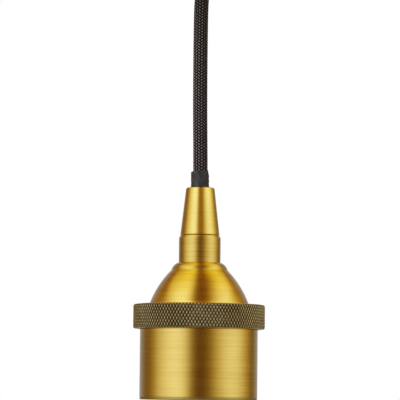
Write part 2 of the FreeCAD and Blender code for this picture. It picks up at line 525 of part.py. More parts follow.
def holder():
    line_out, neutral_out = -(LINE_WIRE_Y + BLOCK_EDGE), NEUTRAL_WIRE_Y + BLOCK_EDGE
    nodes = {
        "shell": shell(), "knurled_ring": knurled_ring(), "ring_washer": ring_washer(),
        "dome_cap": dome_cap(), "collar": collar(), "cone_grip": cone_grip(),
        "grip_collet": grip_collet(), "strain_sleeve": strain_sleeve(),
        "threaded_nipple": tube(NIPPLE_R, NIPPLE_BORE_R, NIPPLE_LOW, NIPPLE_TOP),
        "nipple_nut": nipple_nut(), "lock_washer": lock_washer(), "insert_bridge": insert_bridge(),
        "bridge_screws": Part.makeCompound([bridge_screw(-1, TAG_T), bridge_screw(1, 0)]),
        "earth_tag": earth_tag(), "ceramic_insert": ceramic_insert(), "lamp_shell": lamp_shell(),
        "contact_keeper": contact_keeper(), "contact_plunger": contact_plunger(),
        "plunger_spring": plunger_spring(),
        "line_terminal": terminal(-LINE_WIRE_Y, LINE_IN_Y, line_out, False),
        "neutral_terminal": terminal(NEUTRAL_WIRE_Y, NEUTRAL_IN_Y, neutral_out, True),
        "pinch_screws": Part.makeCompound([pinch_screw(line_out), pinch_screw(neutral_out)]),
        "neutral_rivet": neutral_rivet(), "cord_tail": rod(CORD_R, Z * TAIL_LOW, Z * CORD_JOIN),
    }
    nodes.update(cores())
    for shape in nodes.values():
        shape.translate(Z * HANG)
    return nodes


# --- the hanging flex -----------------------------------------------------------------------
def flex():
    low = CORD_JOIN + HANG
    return {"cord_neck": rod(CORD_R, Z * (PIVOT - NECK_HALF), Z * (PIVOT + NECK_HALF)),
            "cord": rod(CORD_R, Z * low, Z * (PIVOT - NECK_HALF))}


# --- the ceiling unit -----------------------------------------------------------------------
def ceiling_plate():
    """The steel plate on the ceiling, with a skirt for the canopy's screws."""
    wall = PLATE_T
    body = turned([(0, -PLATE_T), (PLATE_R - wall, -PLATE_T), (PLATE_R - wall, -PLATE_SKIRT),
                   (PLATE_R, -PLATE_SKIRT), (PLATE_R, 0), (0, 0)])
    for side in (-1, 1):
        middle = side * SLOT_SPACING / 2
        flat = SLOT_LENGTH / 2 - SLOT_HALF
        slot = box((-SLOT_HALF, SLOT_HALF), (middle - flat, middle + flat), (-PLATE_T, 0))
        for end in (-flat, flat):
            slot = slot.fuse(rod(SLOT_HALF, V(0, middle + end, -PLATE_T), V(0, middle + end, 0)))
        body = body.cut(slot)
    body = body.cut(rod(GROMMET_R + SEAT, V(SUPPLY_X, 0, -PLATE_T), V(SUPPLY_X, 0, 0)))
    for at, way in canopy_screw_places():
        body = body.cut(rod(CANOPY_SCREW_R + SEAT, at, at + way * CANOPY_SCREW_L))
    for at in bracket_screw_places():
        body = body.cut(rod(FIX_SCREW_R + SEAT, V(at.x, at.y, -PLATE_T), V(at.x, at.y, 0)))
    return body


def canopy_screw_places():
    """Where each canopy screw's head seats, and the way its shank runs."""
    for i in range(CANOPY_SCREWS):
        turn = math.radians(90 + 360 / CANOPY_SCREWS * i)
        out = V(math.cos(turn), math.sin(turn), 0)
        yield out * CANOPY_R - Z * CANOPY_SCREW_Z, out * -1


def canopy_screws():
    """Three round-headed screws through the canopy's side, their heads hollowed to fit its curve."""
    side = Part.makeCylinder(CANOPY_R, CANOPY_H, Z * -CANOPY_H)
    bodies = []
    for at, way in canopy_screw_places():
        head = rod(CANOPY_SCREW_HEAD_R, at - way * CANOPY_SCREW_HEAD_H, at + way * CANOPY_WALL).cut(side)
        shank = rod(CANOPY_SCREW_R, at - way * SEAT, at + way * CANOPY_SCREW_L)
        bodies.append(head.fuse(shank).removeSplitter())
    return Part.makeCompound(bodies)


def canopy():
    """The spun brass canopy: a straight side, a large round corner and a flat underside."""
    inner, corner = CANOPY_R - CANOPY_WALL, CANOPY_CORNER - CANOPY_WALL
    centre = CANOPY_R - CANOPY_CORNER, -(CANOPY_H - CANOPY_CORNER)
    half = math.sqrt(0.5)
    hole = GUIDE_TUBE_R + SEAT
    body = turned([
        (CANOPY_R, -CANOPY_TOP_GAP), (inner, -CANOPY_TOP_GAP), (inner, centre[1]),
        ("arc", (centre[0] + corner * half, centre[1] - corner * half)),
        (centre[0], -CANOPY_H + CANOPY_WALL), (hole, -CANOPY_H + CANOPY_WALL), (hole, -CANOPY_H),
        (centre[0], -CANOPY_H),
        ("arc", (centre[0] + CANOPY_CORNER * half, centre[1] - CANOPY_CORNER * half)),
        (CANOPY_R, centre[1])])
    for at, way in canopy_screw_places():
        body = body.cut(rod(CANOPY_SCREW_R + SEAT, at - way * CANOPY_WALL, at + way * CANOPY_SCREW_L))
    return body


def supply_grommet():
    """The rubber grommet where the house wiring comes through the plate."""
    body = turned([(GROMMET_BORE_R, -GROMMET_UNDER), (GROMMET_FLANGE_R, -GROMMET_UNDER),
                   (GROMMET_FLANGE_R, -PLATE_T - SEAT), (GROMMET_R, -PLATE_T - SEAT), (GROMMET_R, 0),
                   (GROMMET_BORE_R, 0)])
    body.translate(X * SUPPLY_X)
    return body


def cord_guide():
    """The trumpet-mouthed bush that the flex comes down through, and swings in."""
    top, throat = PIVOT + GUIDE_TUBE_UP, PIVOT
    mouth = (GUIDE_MOUTH_R, GUIDE_MOUTH)
    waist = (GUIDE_THROAT_R, throat)
    upper = (GUIDE_TOP_R, top)
    return turned([
        mouth, (GUIDE_FLANGE_R, GUIDE_MOUTH), (GUIDE_FLANGE_R, -CANOPY_H), (GUIDE_TUBE_R, -CANOPY_H),
        (GUIDE_TUBE_R, top), upper, ("arc", bulged(upper, waist, -GUIDE_UPPER_HOLLOW)), waist,
        ("arc", bulged(waist, mouth, -GUIDE_LOWER_HOLLOW))])


def guide_nut():
    low = -CANOPY_H + CANOPY_WALL
    return tube(GUIDE_NUT_R, GUIDE_TUBE_R + SEAT, low, low + GUIDE_NUT_H)


def on_axle(shape):
    """Moves a piece turned about the Y axis onto the reel's axle."""
    shape.translate(V(REEL_X, 0, REEL_Z))
    return shape


def reel_drum():
    """The reel: a barrel on a hub between two flanges, with lightening holes."""
    half_in, bore = REEL_IN / 2, AXLE_R + RUN
    body = tube(HUB_R, bore, -REEL_HALF, REEL_HALF, Y)
    body = body.fuse(tube(BARREL_R, BARREL_R - BARREL_WALL, -REEL_HALF, REEL_HALF, Y))
    for side in (-1, 1):
        span = sorted((side * half_in, side * REEL_HALF))
        body = body.fuse(tube(FLANGE_R, bore, span[0], span[1], Y))
    for i in range(WEB_HOLES):
        turn = 2 * math.pi * (i + 0.5) / WEB_HOLES
        at = V(WEB_HOLE_AT * math.cos(turn), 0, WEB_HOLE_AT * math.sin(turn))
        body = body.cut(rod(WEB_HOLE_R, at - Y * REEL_HALF, at + Y * REEL_HALF))
    return on_axle(body.removeSplitter())


def inner_layer():
    """The flex's inner layer on the barrel, as one plain core under the outer turns."""
    edge = REEL_IN / 2 - LAYER_GAP
    return on_axle(tube(LAYER_IN_R, BARREL_R + SEAT, -edge, edge, Y))


def wind_at(turns):
    """A point on the middle line of the outer layer, counted in turns back from where it leaves."""
    a = 2 * math.pi * turns
    return V(REEL_X + LAYER_R * math.cos(a), LEAVE_Y - WIND_STEP * turns, REEL_Z + LAYER_R * math.sin(a))


def wind_way(turns):
    a, round_way = 2 * math.pi * turns, 2 * math.pi * LAYER_R
    return V(-round_way * math.sin(a), -WIND_STEP, round_way * math.cos(a)).normalize()


def cord_winding():
    """The outer layer of flex, as one unbroken tube that ends straight against the ramp."""
    edges = coiled(wind_at, wind_way, WIND_TURNS, 4)
    last = wind_at(WIND_TURNS)
    edges.append(Part.LineSegment(last, last + wind_way(WIND_TURNS) * 2 * CORD_R).toShape())
    gap = least_gap([wind_at(i / 36) for i in range(int(36 * WIND_TURNS) + 1)], 27, CORD_R)
    length = sum(edge.Length for edge in edges)
    solid = swept(edges, CORD_R, wind_at(0), wind_way(0))
    kept = solid.Volume / (math.pi * CORD_R ** 2 * length)
    print(f"cord_winding: length {length:.1f}, least gap between turns {gap:.2f}, volume share {kept:.4f}")
    return solid


def layer_ramp():
    """The block on the reel that the outer layer starts from, where the flex climbs a layer."""
    way, at = wind_way(WIND_TURNS), wind_at(WIND_TURNS)
    centre = V(REEL_X, at.y, REEL_Z)
    out = (at - centre).normalize()
    start = at + way * (2 * CORD_R)
    across = way.cross(out)
    corner = start - out * (CORD_R - SEAT) - across * (RAMP_W / 2)
    up = out * (2 * CORD_R - RAMP_SHORT)
    side = across * RAMP_W
    face = Part.Face(Part.makePolygon([corner, corner + side, corner + side + up, corner + up, corner]))
    return face.extrude(way * RAMP_L)


def cord_lead():
    """The flex from the reel's rim down to the bend in the guide."""
    start = wind_at(0) - Z * CORD_R * abs(wind_way(0).y)
    points = [start, start - Z * LEAD_RUN, V(0, 0, PIVOT + LEAD_BEND_UP), V(0, 0, PIVOT + NECK_HALF)]
    return routed(points, CORD_R, "cord_lead")


def spring_case():
    """The cup on the reel's side that holds the spring."""
    low, high, bore = REEL_HALF, REEL_HALF + CASE_W, AXLE_R + RUN
    return on_axle(turned([
        (CASE_R, low), (CASE_R, high), (bore, high), (bore, high - CASE_WALL),
        (CASE_R - CASE_WALL, high - CASE_WALL), (CASE_R - CASE_WALL, low)], Y))


def power_spring():
    """The flat steel spring that balances the lamp, wound from the axle out to the case."""
    low, high = REEL_HALF + STRIP_SIDE, REEL_HALF + CASE_W - CASE_WALL - STRIP_SIDE
    outer_r = CASE_R - CASE_WALL - STRIP_T - STRIP_SIDE
    steps = STRIP_TURNS * 12

    def coil(extra):
        line = []
        for i in range(steps + 1):
            a, r = 2 * math.pi * i / 12, STRIP_IN_R + (outer_r - STRIP_IN_R) * i / steps + extra
            line.append(V(r * math.cos(a), low, r * math.sin(a)))
        curve = Part.BSplineCurve()
        curve.interpolate(line)
        return curve.toShape(), line[0], line[-1]

    inside, in_start, in_end = coil(0)
    outside, out_start, out_end = coil(STRIP_T)
    ends = [Part.LineSegment(in_start, out_start).toShape(), Part.LineSegment(in_end, out_end).toShape()]
    face = Part.Face(Part.Wire(Part.__sortEdges__([inside, outside] + ends)))
    return on_axle(face.extrude(Y * (high - low)))


def slip_ring_hub():
    low = -REEL_HALF - RING_HUB_W
    return on_axle(tube(RING_HUB_R, AXLE_R + RUN, low, -REEL_HALF, Y))


def ring_places():
    """The middle of each of the three slip rings along the axle."""
    return [-REEL_HALF - RING_HUB_W / 2 + CONTACT_RING_STEP * (i - 1) for i in range(3)]


def slip_rings():
    half = CONTACT_RING_W / 2
    return Part.makeCompound([on_axle(tube(CONTACT_RING_R, RING_HUB_R, y - half, y + half, Y))
                              for y in ring_places()])


def brush_block_face():
    return REEL_X + CONTACT_RING_R + BRUSH_BLOCK_X


def brush_block():
    """The insulating block under the plate that carries the three brushes."""
    places, edge = ring_places(), CONTACT_RING_STEP
    block = box((brush_block_face(), brush_block_face() + BRUSH_BLOCK_T),
                (places[0] - edge / 2, places[2] + edge / 2), (REEL_Z - BRUSH_BLOCK_LOW, -PLATE_T))
    for y in places:
        block = block.cut(rod(BRUSH_R + SEAT, V(brush_block_face(), y, REEL_Z),
                              V(brush_block_face() + BRUSH_BLOCK_T / 2, y, REEL_Z)))
    return block


def brushes():
    """Three carbon brushes that bear on the slip rings."""
    start = REEL_X + CONTACT_RING_R + SEAT
    return Part.makeCompound([rod(BRUSH_R, V(start, y, REEL_Z),
                                  V(brush_block_face() + BRUSH_BLOCK_T / 2, y, REEL_Z))
                              for y in ring_places()])


def bracket(side):
    """One of the two plates that carry the axle, with a foot turned out under the ceiling plate."""
    wall = sorted((side * BRACKET_IN, side * BRACKET_OUT))
    body = box((REEL_X - BRACKET_HALF, REEL_X + BRACKET_HALF), wall,
               (REEL_Z, -PLATE_T)).fuse(
        rod(BRACKET_HALF, V(REEL_X, wall[0], REEL_Z), V(REEL_X, wall[1], REEL_Z)))
    foot = sorted((side * BRACKET_IN, side * (BRACKET_OUT + BRACKET_FOOT)))
    body = body.fuse(box((REEL_X - BRACKET_FOOT_HALF, REEL_X + BRACKET_FOOT_HALF), foot,
                         (-PLATE_T - BRACKET_T, -PLATE_T)))
    body = body.cut(rod(AXLE_R + SEAT, V(REEL_X, -BRACKET_OUT, REEL_Z), V(REEL_X, BRACKET_OUT, REEL_Z)))
    if side < 0:
        body = body.cut(rod(BRAKE_SCREW_R + SEAT, V(REEL_X + BRAKE_X, -BRACKET_OUT, REEL_Z + BRAKE_Z),
                            V(REEL_X + BRAKE_X, -BRACKET_IN, REEL_Z + BRAKE_Z)))
    for at in bracket_screw_places():
        body = body.cut(rod(FIX_SCREW_R + SEAT, at, V(at.x, at.y, -PLATE_T)))
    return body.removeSplitter()


def bracket_screw_places():
    """Where the heads of the four bracket screws seat, under the brackets' feet."""
    return [V(REEL_X + way * FIX_AT, side * (BRACKET_OUT + BRACKET_FOOT / 2), -PLATE_T - BRACKET_T)
            for side in (-1, 1) for way in (-1, 1)]


def bracket_screws():
    return Part.makeCompound([screw(at, Z, FIX_HEAD_R, FIX_HEAD_H, FIX_SCREW_R, BRACKET_T + PLATE_T)
                              for at in bracket_screw_places()])


def clip_spans(extra):
    """Where the two clips lie along the axle, each span lengthened by extra."""
    return (-BRACKET_OUT - CLIP_T - extra, -BRACKET_OUT), (BRACKET_OUT, BRACKET_OUT + CLIP_T + extra)


def reel_axle():
    end = BRACKET_OUT + AXLE_OVER
    axle = rod(AXLE_R, Y * -end, Y * end)
    for low, high in clip_spans(SEAT):
        axle = axle.cut(tube(2 * AXLE_R, AXLE_R - CLIP_GROOVE, low, high, Y))
    return on_axle(axle)


def axle_clips():
    """The two clips that keep the axle in its brackets."""
    return Part.makeCompound([on_axle(tube(CLIP_R, AXLE_R - CLIP_GROOVE + SEAT, low, high, Y))
                              for low, high in clip_spans(0)])


def brake_pad():
    """The felt pad that rubs on the reel's flange and holds the lamp where it is left."""
    at = V(REEL_X + BRAKE_X, -REEL_HALF - SEAT, REEL_Z + BRAKE_Z)
    return rod(PAD_R, at, at - Y * PAD_T)


def brake_screw():
    """The screw through the bracket that sets how hard the pad presses."""
    at = V(REEL_X + BRAKE_X, -BRACKET_OUT, REEL_Z + BRAKE_Z)
    return screw(at, Y, BRAKE_HEAD_R, BRAKE_HEAD_H, BRAKE_SCREW_R, BRACKET_OUT - REEL_HALF - SEAT - PAD_T)


def supply_places():
    """The three ways of the terminal block, level with the slip rings."""
    return [ring_places()[1] + SUPPLY_PITCH * (i - 1) for i in range(3)]


def supply_block():
    """The three-way terminal block for the house wiring."""
    near, far = SUPPLY_BLOCK_NEAR, SUPPLY_BLOCK_NEAR + SUPPLY_BLOCK_L
    middle, half = ring_places()[1], SUPPLY_BLOCK_W / 2
    under, centre = -PLATE_T - SUPPLY_BLOCK_H, (near + far) / 2
    block = box((near, far), (middle - half, middle + half), (under, -PLATE_T))
    for y in supply_places():
        for start, end in ((near, near + SUPPLY_HOLE_DEPTH), (far - SUPPLY_HOLE_DEPTH, far)):
            block = block.cut(rod(SUPPLY_HOLE_R, V(start, y, -LEAD_DROP), V(end, y, -LEAD_DROP)))
        block = block.cut(rod(SUPPLY_SCREW_R + SEAT, V(centre, y, under),
                              V(centre, y, under + SUPPLY_SCREW_DEPTH)))
    return block


def supply_screws():
    under, x = -PLATE_T - SUPPLY_BLOCK_H, SUPPLY_BLOCK_NEAR + SUPPLY_BLOCK_L / 2
    return Part.makeCompound([rod(SUPPLY_SCREW_R, V(x, y, under + SUPPLY_SCREW_SUNK),
                                  V(x, y, under + SUPPLY_SCREW_DEPTH)) for y in supply_places()])


def supply_leads():
    """Three wires from the terminal block to the brush block."""
    start, end = SUPPLY_BLOCK_NEAR + WIRE_IN, brush_block_face() + BRUSH_BLOCK_T
    low = -LEAD_DROP - LEAD_FALL
    leads = {}
    for name, y, brush in zip(("lead_earth", "lead_neutral", "lead_line"), supply_places(), ring_places()):
        points = [V(start, y, -LEAD_DROP), V(start - WIRE_IN - LEAD_STRAIGHT, y, -LEAD_DROP),
                  V(end + LEAD_STRAIGHT, brush, low), V(end + SEAT, brush, low)]
        leads[name] = routed(points, CORE_R, name)
    return leads


def ceiling_unit():
    nodes = {
        "ceiling_plate": ceiling_plate(), "canopy": canopy(), "canopy_screws": canopy_screws(),
        "supply_grommet": supply_grommet(), "cord_guide": cord_guide(), "guide_nut": guide_nut(),
        "reel_drum": reel_drum(), "cord_inner_layer": inner_layer(), "cord_winding": cord_winding(),
        "layer_ramp": layer_ramp(), "cord_lead": cord_lead(), "spring_case": spring_case(),
        "power_spring": power_spring(), "slip_ring_hub": slip_ring_hub(), "slip_rings": slip_rings(),
        "brush_block": brush_block(), "brushes": brushes(), "reel_bracket_left": bracket(-1),
        "reel_bracket_right": bracket(1), "bracket_screws": bracket_screws(),
        "reel_axle": reel_axle(), "axle_clips": axle_clips(), "brake_pad": brake_pad(),
        "brake_screw": brake_screw(), "supply_block": supply_block(), "supply_screws": supply_screws(),
    }
    nodes.update(supply_leads())
    return nodes


def main():
    os.makedirs("parts", exist_ok=True)
    nodes = {}
    for group in (ceiling_unit(), flex(), holder()):
        nodes.update(group)
    for name, shape in nodes.items():
        if not shape.isValid():
            print("not valid:", name)
        shape.exportStep(f"parts/{name}.step")
    print(len(nodes), "pieces, lowest point", round(min(s.BoundBox.ZMin for s in nodes.values()), 2))


main()
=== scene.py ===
"""Dresses the rise and fall pendant: brushed brass, a knurled ring and a braided flex, in a plain studio.

Everything is in metres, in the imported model's own frame: +Z up, and the ceiling at z = 0.
Profiles of turned pieces are lists of (radius, height, fillet) in millimetres. The lamp
holder's heights are counted up from the foot of its shell.
"""
import json
import math

import bpy
from bpy.props import FloatProperty, FloatVectorProperty, IntProperty, PointerProperty
from mathutils import Matrix, Vector, noise


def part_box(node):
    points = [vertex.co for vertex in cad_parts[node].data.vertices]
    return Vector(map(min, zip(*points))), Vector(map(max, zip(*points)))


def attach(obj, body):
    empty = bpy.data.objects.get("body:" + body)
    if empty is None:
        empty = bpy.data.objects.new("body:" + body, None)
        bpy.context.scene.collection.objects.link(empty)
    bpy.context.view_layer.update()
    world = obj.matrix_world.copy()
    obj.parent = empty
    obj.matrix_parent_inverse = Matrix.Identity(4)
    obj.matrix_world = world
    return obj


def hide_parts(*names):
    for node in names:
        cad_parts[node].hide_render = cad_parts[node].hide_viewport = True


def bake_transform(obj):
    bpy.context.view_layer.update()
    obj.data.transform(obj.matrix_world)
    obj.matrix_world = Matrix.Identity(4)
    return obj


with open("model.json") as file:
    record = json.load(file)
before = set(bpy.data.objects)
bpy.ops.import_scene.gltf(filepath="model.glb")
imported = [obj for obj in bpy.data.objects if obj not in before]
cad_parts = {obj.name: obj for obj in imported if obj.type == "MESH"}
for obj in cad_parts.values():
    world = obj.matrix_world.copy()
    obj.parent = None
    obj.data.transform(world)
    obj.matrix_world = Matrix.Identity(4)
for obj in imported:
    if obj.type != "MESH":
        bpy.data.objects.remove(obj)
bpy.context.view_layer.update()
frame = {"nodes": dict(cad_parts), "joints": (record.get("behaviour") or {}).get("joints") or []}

bl_info = {
    "name": "Rise and fall pendant",
    "version": (1, 0, 0),
    "blender": (4, 5, 0),
    "location": "View3D > Sidebar > Pendant",
    "description": "Dresses a brass rise and fall pendant on its braided flex",
    "category": "Object",
}

MM = 0.001
FULL_TURN = 2 * math.pi
SHARP = math.radians(32)


def low(node):
    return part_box(node)[0]


def high(node):
    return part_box(node)[1]


def outer_radius(node):
    return high(node).x / MM


FOOT = low("shell").z                  # the holder's own heights start here


def heights(node):
    """The node's two ends over the holder's foot, in millimetres."""
    return [(end(node).z - FOOT) / MM for end in (low, high)]


SHELL_R, RING_R, FLANGE_R, CONE_R = map(outer_radius, ("shell", "knurled_ring", "dome_cap", "cone_grip"))
SLEEVE_R, FLEX_R, CANOPY_R, GUIDE_R = map(outer_radius, ("strain_sleeve", "cord", "canopy", "cord_guide"))
RING_LOW, RING_TOP = heights("knurled_ring")
DOME_LOW, DOME_TOP = heights("dome_cap")
COLLAR_TOP = heights("collar")[1]
CONE_LOW, CONE_TOP = heights("cone_grip")
NIPPLE_LOW, NIPPLE_TOP = heights("threaded_nipple")
SLEEVE_LOW, SLEEVE_TOP = heights("strain_sleeve")
SOCKET_LOW, SOCKET_TOP = heights("lamp_shell")
FLEX_LOW, FLEX_TOP = low("cord").z, high("cord").z
CANOPY_LOW, CANOPY_TOP = low("canopy").z / MM, high("canopy").z / MM
GUIDE_LOW, GUIDE_TOP = low("cord_guide").z / MM, high("cord_guide").z / MM
PIVOT = next(j["pos_m"][2] for j in frame["joints"] if j["name"] == "swing_side")
FALL = -next(j["range_m"][0] for j in frame["joints"] if j["name"] == "rise_fall")


# --- settings --------------------------------------------------------------------------------
def colour_setting(name, description, default):
    return FloatVectorProperty(name=name, description=description, subtype="COLOR", size=3, min=0, max=1,
                               default=default)


def length_setting(name, description, least, most, default):
    return FloatProperty(name=name, description=description, unit="LENGTH", min=least, max=most,
                         default=default)


class BrassSettings(bpy.types.PropertyGroup):
    """The finish of the brushed brass."""
    shell: colour_setting("Shell", "Colour of the shell", (0.83, 0.635, 0.19))
    dome: colour_setting("Dome", "Colour of the dome", (0.84, 0.62, 0.165))
    collar: colour_setting("Collar", "Colour of the collar", (0.80, 0.60, 0.17))
    grip: colour_setting("Grip", "Colour of the tapered grip", (0.85, 0.65, 0.19))
    canopy: colour_setting("Canopy", "Colour of the ceiling canopy", (0.80, 0.60, 0.18))
    roughness: FloatProperty(name="Roughness", description="Roughness along the brushing",
                             min=0, max=1, default=0.24)
    brush_line: length_setting("Brush line", "Width of the coarse brush lines", 0.00005, 0.002, 0.00055)


class KnurlSettings(bpy.types.PropertyGroup):
    """The knurl of the ring."""
    bumps: IntProperty(name="Bumps", description="Bumps in one row round the ring",
                       min=20, max=300, default=122)
    lean: IntProperty(name="Lean", description="Grooves more the one way than the other",
                      min=0, max=9, default=3)
    row: length_setting("Row", "Height from one row of bumps to the next", 0.0004, 0.004, 0.0012)
    depth: length_setting("Depth", "Depth of the grooves between the bumps", 0, 0.001, 0.00042)
    crest: colour_setting("Crest", "Colour of the bumps", (0.46, 0.37, 0.20))
    groove: colour_setting("Groove", "Colour in the grooves", (0.035, 0.024, 0.011))
    edge: colour_setting("Edge", "Colour of the smooth edges", (0.62, 0.36, 0.055))


class BraidSettings(bpy.types.PropertyGroup):
    """The braid of the flex."""
    carriers: IntProperty(name="Carriers", description="Yarn bundles that run each way round the flex",
                          min=4, max=24, default=16)
    phase: FloatProperty(name="Phase", description="Bundles that the braid is turned by", default=-0.25)
    rows: IntProperty(name="Rows", description="Rows of floats in the length that the lamp can fall",
                      min=50, max=3000, default=511)
    depth: length_setting("Depth", "How far the bundles stand out of the braid", 0, 0.001, 0.00026)
    # painted shade: dark is painted on the bundles' flanks and between them; yarn is the bundles' own colour
    # and, painted only on their crowns, also a painted highlight
    dark: colour_setting("Dark", "Colour between the bundles", (0.004, 0.002, 0.0015))
    yarn: colour_setting("Yarn", "Colour of the bundles", (0.27, 0.225, 0.225))


class StudioSettings(bpy.types.PropertyGroup):
    """Where the camera stands, and how bright the studio is."""
    distance: length_setting("Distance", "From the camera to the pendant's middle line", 0.2, 5, 0.95)
    eye: length_setting("Eye", "Height of the camera over the foot of the shell", -0.5, 0.5, 0.004)
    tilt: FloatProperty(name="Tilt", description="How far the camera looks up", subtype="ANGLE",
                        default=math.radians(4.676))
    roll: FloatProperty(name="Roll", description="How far the camera leans", subtype="ANGLE",
                        default=math.radians(0.58))
    across: length_setting("Across", "How far right of the pendant the camera stands", -0.5, 0.5, -0.0001)
    lens: FloatProperty(name="Lens", description="Focal length in millimetres",
                        min=10, max=600, default=209.3)
    fill: FloatProperty(name="Fill", description="Level of the light on dull surfaces",
                        min=0, max=3, default=0.55)


# --- shader helper ---------------------------------------------------------------------------
class Sock:
    """An output of a node. Sums, products and powers of values add their own Math nodes."""

    def __init__(self, tree, socket):
        self.tree, self.socket = tree, socket

    def math(self, operation, *others):
        return self.tree.node("Math", {"operation": operation}, dict(enumerate((self, *others))))

    def __add__(self, other):
        return self.math("ADD", other)

    def __sub__(self, other):
        return self.math("SUBTRACT", other)

    def __mul__(self, other):
        return self.math("MULTIPLY", other)

    def __truediv__(self, other):
        return self.math("DIVIDE", other)

    def __pow__(self, other):
        return self.math("POWER", other)

    def __rsub__(self, other):
        return self.tree.node("Math", {"operation": "SUBTRACT"}, {0: other, 1: self})

    __radd__ = __add__

    def smooth(self, start, end, out_low=0.0, out_high=1.0):
        """Runs smoothly from out_low to out_high as the value goes from start to end."""
        return self.tree.node("MapRange", {"interpolation_type": "SMOOTHSTEP"},
                              {0: self, 1: start, 2: end, 3: out_low, 4: out_high})


class Tree:
    """The nodes of one material or of the world."""

    def __init__(self, owner):
        owner.use_nodes = True
        self.owner, self.nodes = owner, owner.node_tree.nodes
        self.links = owner.node_tree.links
        self.nodes.clear()

    def node(self, kind, settings=None, values=None, out=0):
        """Adds a node, sets its settings, then its sockets' values or links, and gives one output."""
        made = self.nodes.new("ShaderNode" + kind)
        for key, value in (settings or {}).items():
            if key == "stops":
                self.set_stops(made.color_ramp, value)
            else:
                setattr(made, key, value)
        for key, value in (values or {}).items():
            if isinstance(value, Sock):
                self.links.new(value.socket, made.inputs[key])
            else:
                made.inputs[key].default_value = value
        return Sock(self, made.outputs[out]) if made.outputs else None

    @staticmethod
    def set_stops(ramp, stops):
        while len(ramp.elements) < len(stops):
            ramp.elements.new(0.5)
        for element, (place, _) in zip(ramp.elements, stops):
            element.position = place
        for element, (_, level) in zip(ramp.elements, stops):
            element.color = (level, level, level, 1)

    def split(self, vector):
        """The three parts of a vector."""
        return [self.node("SeparateXYZ", None, {0: vector}, out=k) for k in range(3)]

    def place(self):
        """The three coordinates of the surface in the pendant's frame."""
        return self.split(self.node("TexCoord", out="Object"))

    def vector(self, x, y, z):
        return self.node("CombineXYZ", None, {0: x, 1: y, 2: z})

    def noise(self, vector, scale, detail=2.0, roughness=0.5):
        return self.node("TexNoise", None, {"Vector": vector, "Scale": scale, "Detail": detail,
                                            "Roughness": roughness})

    def mix(self, factor, one, two):
        """A colour between two colours."""
        one, two = [c if isinstance(c, Sock) else (*c, 1) for c in (one, two)]
        return self.node("Mix", {"data_type": "RGBA"}, {0: factor, 6: one, 7: two}, out=2)

    def bump(self, height, distance, strength=1.0):
        return self.node("Bump", None, {"Height": height, "Distance": distance, "Strength": strength})

    def finish(self, **sockets):
        """The surface shader, with its sockets named in small letters."""
        values = {name.replace("_", " ").title().replace("Ior", "IOR"): value
                  for name, value in sockets.items()}
        shader = self.node("BsdfPrincipled", None, values)
        self.node("OutputMaterial", None, {"Surface": shader})
        return self.owner


def new_tree(name):
    return Tree(bpy.data.materials.new(name))


# --- materials -------------------------------------------------------------------------------
def brushed_brass(name, colour, roughness=None, rim=None):
    """Lacquered brass with fine brush lines round it and a faint patina. Below rim it is duller."""
    brass = bpy.context.scene.pendant_brass
    roughness = brass.roughness if roughness is None else roughness
    tree = new_tree(name)
    x, y, z = tree.place()
    radius = (x * x + y * y) ** 0.5
    along = z + radius * 0.6
    fine = tree.noise(tree.vector(x * 60, y * 60, along / (0.25 * brass.brush_line)), 1.0, 3.0, 0.6)
    coarse = tree.noise(tree.vector(x * 25, y * 25, along / brass.brush_line), 1.0, 4.0, 0.65)
    cloud = tree.noise(tree.vector(x, y, z), 70.0, 3.0, 0.55)
    lines = fine * 0.45 + coarse * 0.55
    dull = (0.5 - lines) * 1.1 + (cloud - 0.5) * 0.35
    colours = tree.mix(dull.smooth(-0.16, 0.30), colour, [c * k for c, k in zip(colour, (0.80, 0.76, 0.62))])
    rough = (lines - 0.5) * 0.22 + (cloud - 0.5) * 0.10 + roughness
    if rim is not None:
        edge = z.smooth(rim - 0.05 * MM, rim + 0.12 * MM, 1.0, 0.0)
        colours = tree.mix(edge * 0.75, colours, [c * k for c, k in zip(colour, (0.42, 0.45, 0.55))])
        rough = rough + edge * 0.14
    return tree.finish(base_color=colours, metallic=1.0, roughness=rough,
                       normal=tree.bump(lines, 0.006 * MM, 0.6))


def knurled_bronze():
    """Olive bronze on the ring: rubbed pale on the bumps, nearly black-brown in the grooves."""
    knurl = bpy.context.scene.pendant_knurl
    tree = new_tree("knurled_bronze")
    x, y, z = tree.place()
    crest = tree.node("Attribute", {"attribute_name": "crest"}, out="Fac")    # 2 on the smooth edges
    cloud = tree.noise(tree.vector(x, y, z), 260.0, 4.0, 0.6)
    grain = tree.noise(tree.vector(x, y, z), 2600.0, 2.0, 0.5)
    rubbed = (crest + (cloud - 0.5) * 0.4).smooth(0.16, 0.95)
    edge = crest.smooth(1.2, 1.8)
    colours = tree.mix(edge, tree.mix(rubbed, knurl.groove, knurl.crest), knurl.edge)
    rough = 0.56 - rubbed * 0.20 + (grain - 0.5) * 0.12 - edge * 0.08
    return tree.finish(base_color=colours, metallic=1.0, roughness=rough,
                       normal=tree.bump(grain, 0.01 * MM, 0.5))


def braid_height(around, along):
    """The braid's bundles: how high the surface stands, and where it lies across its bundle."""
    braid = bpy.context.scene.pendant_braid
    turn, rise = around * braid.carriers + braid.phase, along / (FALL / braid.rows)
    one, other = turn + rise, turn - rise
    first, second = one.math("ROUND"), other.math("ROUND")
    cell = (first + second).math("FLOORED_MODULO", 4.0)
    over = cell.math("LESS_THAN", 1.5)
    side = cell.math("FLOORED_MODULO", 2.0) - 0.5
    across = (one - first) * over + (other - second) * (1.0 - over)
    length = (other - second) * over + (one - first) * (1.0 - over) + side
    crown = (across * math.pi).math("COSINE")
    return crown * (1.0 - length * length * 0.75), across


